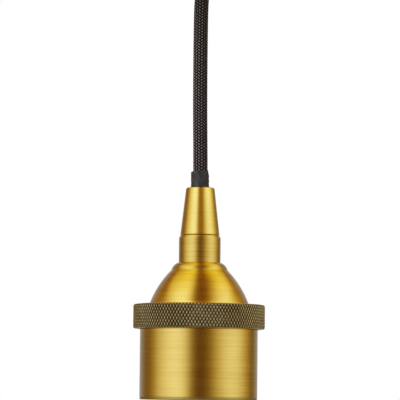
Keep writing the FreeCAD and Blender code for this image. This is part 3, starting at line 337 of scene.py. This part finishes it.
def woven(name):
    """Braided yarn, with painted light: pale yarn on the bundles' crowns is a painted highlight, and
    near-black on their flanks and between them is painted shade. Its braid keeps its scale at every length of
    the hanging flex.
    """
    braid = bpy.context.scene.pendant_braid
    tree = new_tree(name)
    around = tree.split(tree.node("UVMap", {"uv_map": "flex"}))[0]
    spot = tree.node("NewGeometry", out="Position")
    run = tree.node("VectorMath", {"operation": "DISTANCE"}, {0: spot, 1: (0.0, 0.0, PIVOT)}, out="Value")
    height, across = braid_height(around, run)
    yarns = (across * 18.0).math("SINE") * 0.5 + 0.5
    fibre = tree.noise(tree.vector(around * 60.0, run * 2200.0, across * 30.0), 1.0, 3.0, 0.6)
    # lit paints the yarn colour on the bundles' crowns as a painted highlight, and near-black painted shade
    # on their flanks and in the gaps
    lit = (height.smooth(0.35, 1.0) * (0.8 + yarns * 0.2) + (fibre - 0.5) * 0.2).smooth(0.2, 1.0)
    colours = tree.mix(lit, braid.dark, braid.yarn)
    relief = height + yarns * 0.1 + fibre * 0.08
    return tree.finish(base_color=colours, roughness=0.62 - lit * 0.22, specular_ior_level=0.14,
                       normal=tree.bump(relief, 0.14 * MM, 0.6))


def soft_rubber(name, colour):
    """Matt rubber with a dusty bloom and small creases."""
    tree = new_tree(name)
    x, y, z = tree.place()
    bloom = tree.noise(tree.vector(x, y, z), 420.0, 4.0, 0.6)
    grain = tree.noise(tree.vector(x, y, z), 3500.0, 2.0, 0.5)
    colours = tree.mix(bloom.smooth(0.35, 0.75), colour, [min(1, c * 2.1) for c in colour])
    return tree.finish(base_color=colours, roughness=0.62 - bloom * 0.18,
                       normal=tree.bump(bloom * 0.6 + grain * 0.4, 0.05 * MM, 0.7), specular_ior_level=0.4)


def plated(name, colour, roughness, metallic=1.0, spangle=0.16, grain_scale=900.0):
    """A plated, cast or drawn metal with a cloudy surface."""
    tree = new_tree(name)
    x, y, z = tree.place()
    cloud = tree.noise(tree.vector(x, y, z), 140.0, 3.0, 0.55)
    grain = tree.noise(tree.vector(x, y, z), grain_scale, 3.0, 0.6)
    shade = (cloud + grain * 0.5 - 0.25).smooth(0.3, 0.75)
    colours = tree.mix(shade * spangle * 4.0, colour, [c * 0.62 for c in colour])
    return tree.finish(base_color=colours, metallic=metallic, roughness=(grain - 0.5) * 0.2 + roughness,
                       normal=tree.bump(grain, 0.02 * MM, 0.35))


def moulded(name, colour, roughness, speck=0.15, coat=0.0):
    """A moulded, pressed or glazed piece, with a fine grain."""
    tree = new_tree(name)
    x, y, z = tree.place()
    cloud = tree.noise(tree.vector(x, y, z), 180.0, 3.0, 0.5)
    grain = tree.noise(tree.vector(x, y, z), 2400.0, 2.0, 0.5)
    colours = tree.mix(cloud.smooth(0.3, 0.8) * speck, colour, [c * 0.55 for c in colour])
    return tree.finish(base_color=colours, roughness=(grain - 0.5) * 0.12 + roughness, coat_weight=coat,
                       normal=tree.bump(grain + cloud, 0.015 * MM, 0.4))


def felted(name, colour):
    """Wool felt."""
    tree = new_tree(name)
    x, y, z = tree.place()
    hairs = tree.noise(tree.vector(x, y * 3, z), 1500.0, 5.0, 0.75)
    colours = tree.mix(hairs.smooth(0.3, 0.7), [c * 0.5 for c in colour], colour)
    return tree.finish(base_color=colours, roughness=0.95, sheen_weight=0.3,
                       normal=tree.bump(hairs, 0.2 * MM, 0.8))


# --- mesh helpers ----------------------------------------------------------------------------
def rounded(corners, steps=4):
    """A closed line through (radius, height, fillet) corners, with its fillets as arcs."""
    line = []
    for k, (r, z, fillet) in enumerate(corners):
        here = Vector((r, z))
        before = Vector(corners[k - 1][:2]) - here
        after = Vector(corners[(k + 1) % len(corners)][:2]) - here
        if fillet == 0:
            line.append(here)
            continue
        half = before.angle(after) / 2
        reach = min(fillet / math.tan(half), 0.48 * before.length, 0.48 * after.length)
        radius = reach * math.tan(half)
        middle = here + (before.normalized() + after.normalized()).normalized() * radius / math.sin(half)
        start = here + before.normalized() * reach - middle
        turn = start.angle_signed(here + after.normalized() * reach - middle)
        for step in range(steps + 1):
            line.append(middle + Matrix.Rotation(-turn * step / steps, 2) @ start)
    return line


def bowed(a, b, swell, steps=14):
    """(radius, height, 0) points on an arc from a to b, that swells to the right of its chord."""
    a, b = Vector(a), Vector(b)
    chord = b - a
    out = Vector((chord.y, -chord.x)).normalized()
    big = (chord.length_squared / 4 + swell * swell) / (2 * abs(swell))
    centre = (a + b) / 2 + out * (swell - math.copysign(big, swell))
    start = a - centre
    turn = start.angle_signed(b - centre)
    points = [centre + Matrix.Rotation(-turn * k / steps, 2) @ start for k in range(steps + 1)]
    return [(p.x, p.y, 0) for p in points]


def split_long(line, spacing):
    """The closed line with its long stretches cut into steps of at most spacing."""
    made = []
    for k, here in enumerate(line):
        following = line[(k + 1) % len(line)]
        count = max(1, math.ceil((following - here).length / spacing))
        made += [here.lerp(following, s / count) for s in range(count)]
    return made


def grid_mesh(name, rings, closed_rings=True, values=None):
    """A mesh through rings of points; closed_rings joins the last ring to the first."""
    count, rows = len(rings[0]), len(rings)
    points = [p for ring in rings for p in ring]
    faces = []
    for r in range(rows if closed_rings else rows - 1):
        a, b = r * count, (r + 1) % rows * count
        faces += [(a + k, a + (k + 1) % count, b + (k + 1) % count, b + k) for k in range(count)]
    if not closed_rings:
        faces += [tuple(reversed(range(count))), tuple(range((rows - 1) * count, rows * count))]
    mesh = bpy.data.meshes.new(name)
    mesh.from_pydata(points, [], faces)
    mesh.validate()
    if values:
        mesh.attributes.new("crest", "FLOAT", "POINT").data.foreach_set("value", values)
    mesh.polygons.foreach_set("use_smooth", [True] * len(mesh.polygons))
    mesh.set_sharp_from_angle(angle=SHARP)
    return mesh


def show(name, mesh, material, body=None, replaces=()):
    """Puts a mesh in the scene as a piece with its finish, on its body."""
    piece = bpy.data.objects.new(name, mesh)
    bpy.context.scene.collection.objects.link(piece)
    mesh.materials.append(material)
    if body:
        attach(piece, body)
    if replaces:
        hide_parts(*replaces)
    return piece


def turned(name, corners, material, body, replaces, base=FOOT, segments=160, spacing=None, push=None):
    """A piece turned on a lathe; push(turn, radius, height) may move its wall out or in, in millimetres."""
    line = rounded(corners)
    if spacing:
        line = split_long(line, spacing)
    rings = []
    for p in line:
        ring = []
        for k in range(segments):
            turn = FULL_TURN * k / segments
            r = p.x + (push(turn, p.x, p.y) if push else 0)
            ring.append((r * MM * math.cos(turn), r * MM * math.sin(turn), base + p.y * MM))
        rings.append(ring)
    piece = show(name, grid_mesh(name, rings), material, body, replaces)
    if push is None:
        even = piece.modifiers.new("even_normals", "WEIGHTED_NORMAL")
        even.keep_sharp = True
    return piece


def threaded(crest, pitch, depth, z_low, z_high):
    """A push that cuts a screw thread into the wall that lies at the crest's radius."""
    def push(turn, r, z):
        if abs(r - crest) > 0.01 or not z_low < z < z_high:
            return 0
        phase = (z / pitch - turn / FULL_TURN) % 1
        fade = min(1, (z - z_low) / pitch, (z_high - z) / pitch)
        return -depth * fade * min(1, max(0, 1.5 * abs(2 * phase - 1) - 0.15))
    return push


def spline_line(route, name):
    """Points of a smooth line through space that a route of control points draws."""
    curve = bpy.data.curves.new(name, "CURVE")
    curve.dimensions = "3D"
    spline = curve.splines.new("NURBS")
    spline.points.add(len(route) - 1)
    for point, place in zip(spline.points, route):
        point.co = (*place, 1)
    spline.order_u = 3
    spline.use_endpoint_u = True
    spline.resolution_u = 12
    holder = bpy.data.objects.new(name, curve)
    bpy.context.scene.collection.objects.link(holder)
    bpy.context.view_layer.update()
    mesh = bpy.data.meshes.new_from_object(holder)
    line = [v.co.copy() for v in mesh.vertices]
    bpy.data.objects.remove(holder)
    bpy.data.curves.remove(curve)
    bpy.data.meshes.remove(mesh)
    return line


def at_distance(line, distance):
    """The point on a line of points at a distance from its start, and the way it runs there."""
    for a, b in zip(line, line[1:]):
        step = (b - a).length
        if distance <= step or b is line[-1]:
            return a.lerp(b, distance / step), (b - a).normalized()
        distance -= step


def flex_mesh(name, line, rings_at, sides, radius_at):
    """A tube along a line, whose chart holds the turn round it and the metres along it."""
    rings, side = [], None
    for distance in rings_at:
        centre, way = at_distance(line, distance)
        side = way.orthogonal() if side is None else side
        side = (side - way * side.dot(way)).normalized()
        other = way.cross(side)
        ring = []
        for k in range(sides):
            turn = FULL_TURN * k / sides
            out = side * math.cos(turn) + other * math.sin(turn)
            ring.append(centre + out * radius_at(k / sides, distance))
        rings.append(ring)
    mesh = grid_mesh(name, rings, closed_rings=False)
    chart = mesh.uv_layers.new(name="flex")
    runs = [d for d in rings_at for _ in range(sides)]
    for face in mesh.polygons:
        shares = [mesh.loops[i].vertex_index % sides / sides for i in face.loop_indices]
        seam = max(shares) - min(shares) > 0.5 and len(shares) == 4
        for i, share in zip(face.loop_indices, shares):
            across = share + 1 if seam and share < 0.5 else share
            chart.data[i].uv = (across, runs[mesh.loops[i].vertex_index])
    return mesh


# --- the pieces ------------------------------------------------------------------------------
def braid_relief(around, along):
    """How far below the flex's full radius the braid's surface lies, in metres."""
    braid = bpy.context.scene.pendant_braid
    turn, rise = around * braid.carriers + braid.phase, along * braid.rows / FALL
    one, other = turn + rise, turn - rise
    first, second = round(one), round(other)
    cell = (first + second) % 4
    side = cell % 2 - 0.5
    across, length = (one - first, other - second) if cell < 2 else (other - second, one - first)
    crown = math.cos(across * math.pi) * (1 - 0.75 * (length + side) ** 2)
    return braid.depth * (1 - max(0.0, crown) ** 0.6)


class PENDANT_OT_flex(bpy.types.Operator):
    """Braids the flex that hangs from the guide to the holder"""
    bl_idname = "pendant.flex"
    bl_label = "Hanging flex"

    def execute(self, context):
        braid = context.scene.pendant_braid
        length, row = FLEX_TOP - FLEX_LOW, FALL / braid.rows
        plain = 9 * MM                         # this much at the top is drawn out as the lamp falls
        aside = -0.5 * MM                      # the flex hangs plumb, the holder leans a little
        route = [(0, 0, FLEX_TOP), (0, 0, FLEX_TOP - plain), (aside, 0, FLEX_TOP - 16 * MM),
                 (aside, 0, FLEX_LOW + 38 * MM), (0, 0, FLEX_LOW + 9 * MM), (0, 0, FLEX_LOW)]
        line = spline_line(route, "flex_line")
        rings_at = [plain * k / 12 for k in range(12)]
        count = int((length - plain) / (row / 9))      # nine rings to each row of floats
        rings_at += [plain + (length - plain) * k / count for k in range(count + 1)]

        def radius_at(around, distance):
            start = min(1.0, max(0.0, (distance - plain) / (0.5 * MM)))
            return FLEX_R * MM - start * braid_relief(around, distance + PIVOT - FLEX_TOP)

        sides = 12 * braid.carriers
        mesh = flex_mesh("braided_flex", line, rings_at, sides, radius_at)
        piece = show("braided_flex", mesh, woven("braid"), replaces=["cord"])
        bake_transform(piece)
        [tuple(at_distance(line, d)[0]) for d in rings_at[::12]]
        return {"FINISHED"}


class PENDANT_OT_sleeve(bpy.types.Operator):
    """Moulds the creased rubber sleeve round the flex"""
    bl_idname = "pendant.sleeve"
    bl_label = "Rubber sleeve"

    def execute(self, context):
        bore, sides, rows = FLEX_R + 0.05, 120, 70
        slant, ragged, lean = 0.3, 0.16, -0.3      # of the top end: aslant, uneven, off the middle
        rings = []
        for r in range(2 * rows):
            outside = r < rows
            share = (r if outside else 2 * rows - 1 - r) / (rows - 1)
            aside = lean * share * share
            ring = []
            for k in range(sides):
                turn = FULL_TURN * k / sides
                x, y = math.cos(turn), math.sin(turn)
                top = SLEEVE_TOP - slant + (slant * x + ragged * noise.noise((2.2 * x, 2.2 * y, 3.1)))
                z = SLEEVE_LOW + (top - SLEEVE_LOW) * share
                radius = bore + 0.02
                if outside:
                    fold = noise.noise((3.0 * x + z * 0.25, 3.0 * y, z * 0.75))
                    ripple = noise.noise((6.0 * x, 6.0 * y, z * 1.8 + 5.0))
                    shown = min(1.0, max(0.0, z - CONE_TOP))
                    creases = (0.16 * fold + 0.07 * ripple - 0.07) * shown
                    edge = min(1.0, (1 - share) * rows / 6)
                    wall = (SLEEVE_R - bore) * (0.55 + 0.45 * math.sqrt(edge))
                    radius = bore + wall + creases
                ring.append(((aside + radius * x) * MM, radius * MM * y, FOOT + z * MM))
            rings.append(ring)
        show("rubber_sleeve", grid_mesh("rubber_sleeve", rings),
             soft_rubber("sleeve_rubber", (0.022, 0.023, 0.026)), "lamp_holder",
             ["strain_sleeve"])
        return {"FINISHED"}


class PENDANT_OT_turned_brass(bpy.types.Operator):
    """Turns the grip, the collar, the dome and the shell"""
    bl_idname = "pendant.turned_brass"
    bl_label = "Turned brass"

    def execute(self, context):
        for turn_piece in (self.grip, self.collar, self.dome, self.shell):
            turn_piece(context.scene.pendant_brass)
        self.nipple()
        return {"FINISHED"}

    def grip(self, brass):
        top_r, bore, hole, throat = 5.8, 5.06, SLEEVE_R + 0.2, CONE_TOP - 1.9
        turned("cone_grip", [
            (bore, CONE_LOW, 0.12), (CONE_R, CONE_LOW, 0.28), (top_r, CONE_TOP, 0.75),
            (hole, CONE_TOP, 0.25), (hole, throat, 0), (bore, throat - 2.8, 0)],
            brushed_brass("grip_brass", brass.grip, 0.24), "grip", ["cone_grip"])

    def collar(self, brass):
        bore, foot_r, waist_r, collar_r, foot_h, chamfer = 5.05, 11.5, 8.9, 8.52, 3.0, 1.0
        foot_top = DOME_TOP + foot_h
        turned("collar", [
            (bore, DOME_TOP, 0), *bowed((foot_r, DOME_TOP), (waist_r, foot_top), 0.45, 8),
            (collar_r, foot_top, 0.08), (collar_r, COLLAR_TOP - chamfer, 0.12),
            (collar_r - 0.47, COLLAR_TOP, 0.15), (bore, COLLAR_TOP, 0)],
            brushed_brass("collar_brass", brass.collar, 0.27), "lamp_holder", ["collar"])

    def dome(self, brass):
        foot_r, top_r, swell, wall, hole = SHELL_R - 3.65, 11.5, 0.9, 1.2, 5.05
        flange_top = DOME_LOW + wall
        inner = bowed((foot_r - wall, RING_TOP), (top_r - wall / 2, DOME_TOP - wall), swell)
        turned("dome_cap", [
            (foot_r - wall, DOME_LOW, 0), (FLANGE_R, DOME_LOW, 0.2), (FLANGE_R, flange_top, 0.2),
            (foot_r, flange_top, 0.15), *bowed((foot_r, RING_TOP), (top_r, DOME_TOP), swell),
            (hole, DOME_TOP, 0), (hole, DOME_TOP - wall, 0), *reversed(inner)],
            brushed_brass("dome_brass", brass.dome), "lamp_holder", ["dome_cap"])

    def shell(self, brass):
        wall, lip_w, lip_t, top_lip_w, top_lip_t, rim = 1.6, 2.2, 1.4, 1.2, 1.3, 1.2
        shown, thread, pitch = RING_LOW - 0.15, SHELL_R - 0.3, 1.5
        inside, rim_r = SHELL_R - wall, SHELL_R - 0.1
        turned("shell", [
            (inside - lip_w, 0, 0.3), (rim_r, 0, 0.5), (rim_r, rim, 0), (SHELL_R, rim + 0.06, 0.04),
            (SHELL_R, shown, 0.1), (thread, shown, 0), (thread, DOME_LOW, 0.25),
            (inside - top_lip_w, DOME_LOW, 0.2), (inside - top_lip_w, DOME_LOW - top_lip_t, 0),
            (inside, DOME_LOW - top_lip_t - top_lip_w, 0), (inside, lip_t, 0.3),
            (inside - lip_w, lip_t, 0.3)],
            brushed_brass("shell_brass", brass.shell, rim=FOOT + rim * MM),
            "lamp_holder", ["shell"], segments=240, spacing=0.25,
            push=threaded(thread, pitch, 0.5, shown + 0.3, DOME_LOW - 0.3))

    def nipple(self):
        outer, bore, pitch = 5.0, 3.5, 1.0
        turned("threaded_nipple", [
            (bore, NIPPLE_LOW, 0.2), (outer, NIPPLE_LOW, 0.4), (outer, NIPPLE_TOP, 0.4),
            (bore, NIPPLE_TOP, 0.2)],
            plated("nipple_zinc", (0.56, 0.55, 0.52), 0.36), "lamp_holder", ["threaded_nipple"],
            segments=96, spacing=0.14, push=threaded(outer, pitch, 0.42, NIPPLE_LOW + 0.2, NIPPLE_TOP - 0.2))


class PENDANT_OT_knurled_ring(bpy.types.Operator):
    """Cuts the diamond knurl into the ring"""
    bl_idname = "pendant.knurled_ring"
    bl_label = "Knurled ring"

    def execute(self, context):
        knurl = context.scene.pendant_knurl
        bore, hole, lip, edge = SHELL_R - 0.24, SHELL_R - 3.4, RING_TOP - 1.6, 0.9
        line = rounded([
            (bore, RING_LOW, 0.3), (RING_R, RING_LOW, edge), (RING_R, RING_TOP, edge), (hole, RING_TOP, 0.12),
            (hole, lip, 0), (bore, lip, 0)], steps=8)
        sides, middle = knurl.bumps * 8, (RING_LOW + RING_TOP) / 2
        rings, values = [], []
        for p in split_long(line, 0.14):
            bare = (0.28 if p.y > middle else 0.42) * edge      # the rounded edges have no knurl
            face = max(0.0, min(1.0, (p.x - (RING_R - bare)) / (0.2 * edge)))
            smooth = 2.0 if SHELL_R + 0.8 < p.x and face == 0 else 0.45     # 2 is a polished edge
            climb = (p.y - middle) * MM / (2 * knurl.row)
            ring = []
            for k in range(sides):
                one = math.sin(math.pi * (k / sides * (knurl.bumps + knurl.lean) + climb))
                other = math.sin(math.pi * (k / sides * knurl.bumps - climb))
                groove = 1 - abs(one * other) ** 0.62
                radius = p.x * MM - knurl.depth * face * groove
                turn = FULL_TURN * k / sides
                ring.append((radius * math.cos(turn), radius * math.sin(turn), FOOT + p.y * MM))
                values.append((1 - groove) * face + (1 - face) * smooth)
            rings.append(ring)
        mesh = grid_mesh("knurled_ring", rings, values=values)
        show("knurled_ring", mesh, knurled_bronze(), "ring", ["knurled_ring"])
        return {"FINISHED"}


class PENDANT_OT_socket(bpy.types.Operator):
    """Rolls the lamp's screw shell inside the porcelain"""
    bl_idname = "pendant.socket"
    bl_label = "Lamp socket"

    def execute(self, context):
        inner, wall, pitch, depth, narrow, hole = 13.5, 0.45, 3.63, 0.85, 12.4, 8.0
        bend = SOCKET_TOP - 5.45
        thread_low, thread_high, run_out = SOCKET_LOW + 0.6, bend + 0.5, 1.5

        def push(turn, r, z):
            if r < inner - 0.01 or z > thread_high:
                return 0
            fade = max(0.0, min(1.0, (z - thread_low) / run_out, (thread_high - z) / run_out))
            return -depth * fade * (0.5 - 0.5 * math.cos(FULL_TURN * (z / pitch - turn / FULL_TURN)))

        turned("lamp_screw_shell", [
            (inner, SOCKET_LOW, 0.15), (inner + wall, SOCKET_LOW, 0.15), (inner + wall, bend, 0.8),
            (narrow + wall, SOCKET_TOP, 0.3), (hole, SOCKET_TOP, 0.1), (hole, SOCKET_TOP - wall, 0.1),
            (narrow, SOCKET_TOP - wall, 0.3), (inner, bend, 0.8)],
            plated("pressed_brass", (0.78, 0.58, 0.24), 0.22, spangle=0.1), "lamp_holder",
            ["lamp_shell"], segments=96, spacing=0.35, push=push)
        return {"FINISHED"}


class PENDANT_OT_canopy(bpy.types.Operator):
    """Spins the ceiling canopy and turns the flex's guide under it"""
    bl_idname = "pendant.canopy"
    bl_label = "Canopy and guide"

    def execute(self, context):
        brass = context.scene.pendant_brass
        wall, corner, hole = 1.0, 32.0, 7.55
        turned("canopy", [
            (CANOPY_R, CANOPY_TOP, 0.3), (CANOPY_R - wall, CANOPY_TOP, 0.3),
            (CANOPY_R - wall, CANOPY_LOW + wall, corner - wall), (hole, CANOPY_LOW + wall, 0),
            (hole, CANOPY_LOW, 0), (CANOPY_R, CANOPY_LOW, corner)],
            brushed_brass("canopy_brass", brass.canopy, 0.29), "ceiling_unit", ["canopy"],
            base=0.0, segments=256, spacing=2.0).visible_glossy = False
        top_r, throat_r, mouth_r, tube_r, lip = 5.4, 3.6, 7.0, 7.5, 0.35
        turned("cord_guide", [
            *bowed((top_r, GUIDE_TOP), (throat_r, CANOPY_LOW), -0.4, 10)[:-1],
            *bowed((throat_r, CANOPY_LOW), (mouth_r, GUIDE_LOW + lip), -0.6, 12),
            ((mouth_r + GUIDE_R) / 2, GUIDE_LOW, 0.8), (GUIDE_R, GUIDE_LOW, 1.1),
            (GUIDE_R, CANOPY_LOW, 0.35), (tube_r, CANOPY_LOW, 0), (tube_r, GUIDE_TOP, 0.4)],
            brushed_brass("guide_brass", brass.grip, 0.22), "ceiling_unit", ["cord_guide"],
            base=0.0, segments=128).visible_glossy = False
        return {"FINISHED"}


FITTINGS = (
    (plated, "zinc", dict(colour=(0.55, 0.56, 0.57), roughness=0.38),
     "ceiling_plate nipple_nut lock_washer insert_bridge bridge_screws reel_bracket_left "
     "reel_bracket_right bracket_screws reel_axle axle_clips brake_screw"),
    (plated, "blued_steel", dict(colour=(0.20, 0.22, 0.27), roughness=0.3), "power_spring plunger_spring"),
    (plated, "brass", dict(colour=(0.78, 0.58, 0.24), roughness=0.26, spangle=0.1),
     "canopy_screws guide_nut slip_rings contact_keeper contact_plunger line_terminal "
     "neutral_terminal pinch_screws neutral_rivet earth_tag supply_screws"),
    (moulded, "porcelain", dict(colour=(0.80, 0.78, 0.72), roughness=0.22, speck=0.08, coat=0.6),
     "ceramic_insert"),
    (plated, "cast_aluminium", dict(colour=(0.68, 0.68, 0.69), roughness=0.48), "reel_drum spring_case"),
    (moulded, "nylon", dict(colour=(0.72, 0.71, 0.66), roughness=0.45),
     "grip_collet supply_block slip_ring_hub layer_ramp"),
    (moulded, "black_plastic", dict(colour=(0.02, 0.02, 0.021), roughness=0.42), "brush_block"),
    (moulded, "red_fibre", dict(colour=(0.26, 0.07, 0.04), roughness=0.7, speck=0.5), "ring_washer"),
    (felted, "wool_felt", dict(colour=(0.42, 0.40, 0.36)), "brake_pad"),
    (moulded, "carbon", dict(colour=(0.03, 0.03, 0.032), roughness=0.5, speck=0.4), "brushes"),
    (soft_rubber, "grommet_rubber", dict(colour=(0.018, 0.018, 0.018)), "supply_grommet"),
    (moulded, "brown_insulation", dict(colour=(0.16, 0.06, 0.025), roughness=0.4), "core_line lead_line"),
    (moulded, "blue_insulation", dict(colour=(0.03, 0.11, 0.42), roughness=0.4), "core_neutral lead_neutral"),
    (moulded, "green_insulation", dict(colour=(0.30, 0.48, 0.05), roughness=0.4), "core_earth lead_earth"),
    (felted, "plain_braid", dict(colour=(0.04, 0.03, 0.03)),
     "cord_neck cord_tail cord_lead cord_winding cord_inner_layer"),
)


class PENDANT_OT_fittings(bpy.types.Operator):
    """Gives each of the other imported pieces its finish"""
    bl_idname = "pendant.fittings"
    bl_label = "Fittings"

    def execute(self, context):
        for maker, finish, look, nodes in FITTINGS:
            material = maker(finish, **look)
            for name in nodes.split():
                mesh = frame["nodes"][name].data
                mesh.materials.clear()
                mesh.materials.append(material)
        return {"FINISHED"}


class PENDANT_OT_studio(bpy.types.Operator):
    """Sets up the camera, the floor and the studio's light"""
    bl_idname = "pendant.studio"
    bl_label = "Studio"

    def execute(self, context):
        context.scene.view_settings.view_transform = "Standard"
        self.camera(context.scene)
        self.world(context.scene)
        self.floor()
        self.lamps()
        for name, node in frame["nodes"].items():       # the holder mirrors no ceiling fitting
            node.visible_glossy = low(name).z < PIVOT - 10 * MM
        return {"FINISHED"}

    def camera(self, scene):
        studio = scene.pendant_studio
        camera = bpy.data.objects.new("camera", bpy.data.cameras.new("camera"))
        scene.collection.objects.link(camera)
        camera.data.lens = studio.lens
        camera.data.clip_start = 0.01
        camera.location = (studio.across, -studio.distance, FOOT + studio.eye)
        look = Matrix.Rotation(math.radians(90) + studio.tilt, 4, "X") @ Matrix.Rotation(studio.roll, 4, "Z")
        camera.rotation_euler = look.to_euler()
        scene.camera = camera

    def world(self, scene):
        """White to the camera; for metal, two broad soft lights beside a dark strip."""
        world = bpy.data.worlds.new("studio")
        scene.world = world
        tree = Tree(world)
        x, y, z = tree.split(tree.node("TexCoord", out="Generated"))

        # how bright it is at each number of degrees to the right of the camera, narrower overhead
        right = x.smooth(-0.1, 0.25)
        reach = z.math("MAXIMUM", 0.0) * 1.4 + 1.0 - right * z.smooth(0.76, 0.9) * 0.75
        ahead = z.smooth(0.5, 0.72, 0.0, 0.5) - y * z.smooth(0.4, 0.6, 1.0, 1.25)
        turn = (x * reach).math("ARCTAN2", ahead) / FULL_TURN + 0.5
        levels = [(-180, 0.62), (-150, 0.34), (-126, 0.20), (-110, 0.23), (-98, 0.38), (-84, 0.73),
                  (-66, 0.96), (-50, 1.05), (-38, 1.02), (-29, 0.90), (-20, 0.56), (-11, 0.20), (0, 0.08),
                  (11, 0.12), (24, 0.27), (38, 0.60), (52, 0.86), (66, 0.98), (78, 0.97), (89, 0.82),
                  (100, 0.60), (112, 0.38), (126, 0.18), (152, 0.34), (180, 0.62)]
        ramp = tree.node("ValToRGB", {"stops": [(0.5 + a / 360, level) for a, level in levels]}, {0: turn})
        least = z.smooth(0.03, 0.28, 0.06, 0.30) * z.smooth(0.4, 0.7, 1.0, 0.55)
        level = tree.node("RGBToBW", None, {0: ramp}).math("MAXIMUM", least)
        level = level * z.smooth(0.06, 0.27, 1.0, 1.18) * z.smooth(0.4, 0.9, 1.0, 0.9)

        # its dark parts are brown, and more so higher up; behind the pendant it is a cool grey
        rich, warm = z.smooth(0.08, 0.28), (z + y * 0.35).smooth(0.5, 1.0)
        green = level ** (rich * 0.25 + 1.42) * (1.0 - warm * 0.15)
        blue = level ** (rich * 1.3 + 2.7) * (1.0 - rich * 0.22) * (1.0 - warm * 0.9)
        behind = y.smooth(0.5, 0.95)
        seen = tree.mix(behind, tree.vector(level, green, blue), tree.vector(level, level, level * 1.25))
        metal = tree.node("Background", None, {"Color": seen})
        fill = scene.pendant_studio.fill
        soft = (x * -0.75 - y * 0.45 + z * 0.2).smooth(-0.75, 0.85, 0.1, 1.25) * fill
        dull = tree.node("Background", None, {"Color": tree.vector(soft, soft, soft)})
        white = tree.node("Background", None, {"Color": (1, 1, 1, 1)})
        glossy = tree.node("LightPath", out="Is Glossy Ray")
        lens = tree.node("LightPath", out="Is Camera Ray")
        clear = tree.node("LightPath", out="Is Transmission Ray")
        lit = tree.node("MixShader", None, {0: glossy, 1: dull, 2: metal})
        lit = tree.node("MixShader", None, {0: lens.math("MAXIMUM", clear), 1: lit, 2: white})
        tree.node("OutputWorld", None, {"Surface": lit})

    def floor(self):
        half, height = 7.5, FOOT - 5.1         # low enough to leave room for views from below
        corners = [(-half, -half, height), (half, -half, height), (half, half, height), (-half, half, height)]
        mesh = bpy.data.meshes.new("floor")
        mesh.from_pydata(corners, [], [(0, 1, 2, 3)])
        tree = new_tree("floor_white")
        plain = tree.node("BsdfDiffuse", None, {"Color": (0.86, 0.86, 0.86, 1)})
        white = tree.node("Emission", None, {"Color": (1, 1, 1, 1)})
        lens = tree.node("LightPath", out="Is Camera Ray")
        seen = tree.node("MixShader", None, {0: lens, 1: plain, 2: white})
        tree.node("OutputMaterial", None, {"Surface": seen})
        mesh.materials.append(tree.owner)
        floor = bpy.data.objects.new("floor", mesh)
        bpy.context.scene.collection.objects.link(floor)

    def lamps(self):
        away, aim, climb, tall = 1.1, FOOT + 0.06, 0.25, 1.3
        for name, degrees, power, width in (("left_lamp", -48, 8.0, 0.5), ("right_lamp", 70, 0.4, 0.7)):
            light = bpy.data.lights.new(name, "AREA")
            light.shape, light.size, light.size_y, light.energy = "RECTANGLE", width, tall, power
            lamp = bpy.data.objects.new(name, light)
            turn = math.radians(degrees)
            out = Vector((math.sin(turn), -math.cos(turn), climb))
            lamp.location = Vector((0, 0, aim)) + out * away
            lamp.rotation_euler = out.to_track_quat("Z", "Y").to_euler()
            lamp.rotation_euler = out.to_track_quat("Z", "Y").to_euler()
            lamp.visible_glossy = lamp.visible_camera = False
            bpy.context.scene.collection.objects.link(lamp)


class PENDANT_PT_panel(bpy.types.Panel):
    """Lists the steps that dress the pendant"""
    bl_label = "Pendant"
    bl_space_type = "VIEW_3D"
    bl_region_type = "UI"
    bl_category = "Pendant"

    def draw(self, context):
        for step in STEPS:
            self.layout.operator(step.bl_idname)


STEPS = (PENDANT_OT_studio, PENDANT_OT_flex, PENDANT_OT_sleeve, PENDANT_OT_turned_brass,
         PENDANT_OT_knurled_ring, PENDANT_OT_socket, PENDANT_OT_canopy, PENDANT_OT_fittings)
SETTINGS = {"pendant_brass": BrassSettings, "pendant_knurl": KnurlSettings, "pendant_braid": BraidSettings,
            "pendant_studio": StudioSettings}


def register():
    for group in (*SETTINGS.values(), *STEPS, PENDANT_PT_panel):
        bpy.utils.register_class(group)
    for name, group in SETTINGS.items():
        setattr(bpy.types.Scene, name, PointerProperty(type=group))


def unregister():
    for name in SETTINGS:
        delattr(bpy.types.Scene, name)
    for group in reversed((*SETTINGS.values(), *STEPS, PENDANT_PT_panel)):
        bpy.utils.unregister_class(group)


def main():
    register()
    for step in STEPS:
        group, name = step.bl_idname.split(".")
        getattr(getattr(bpy.ops, group), name)()


if __name__ == "__main__":
    main()
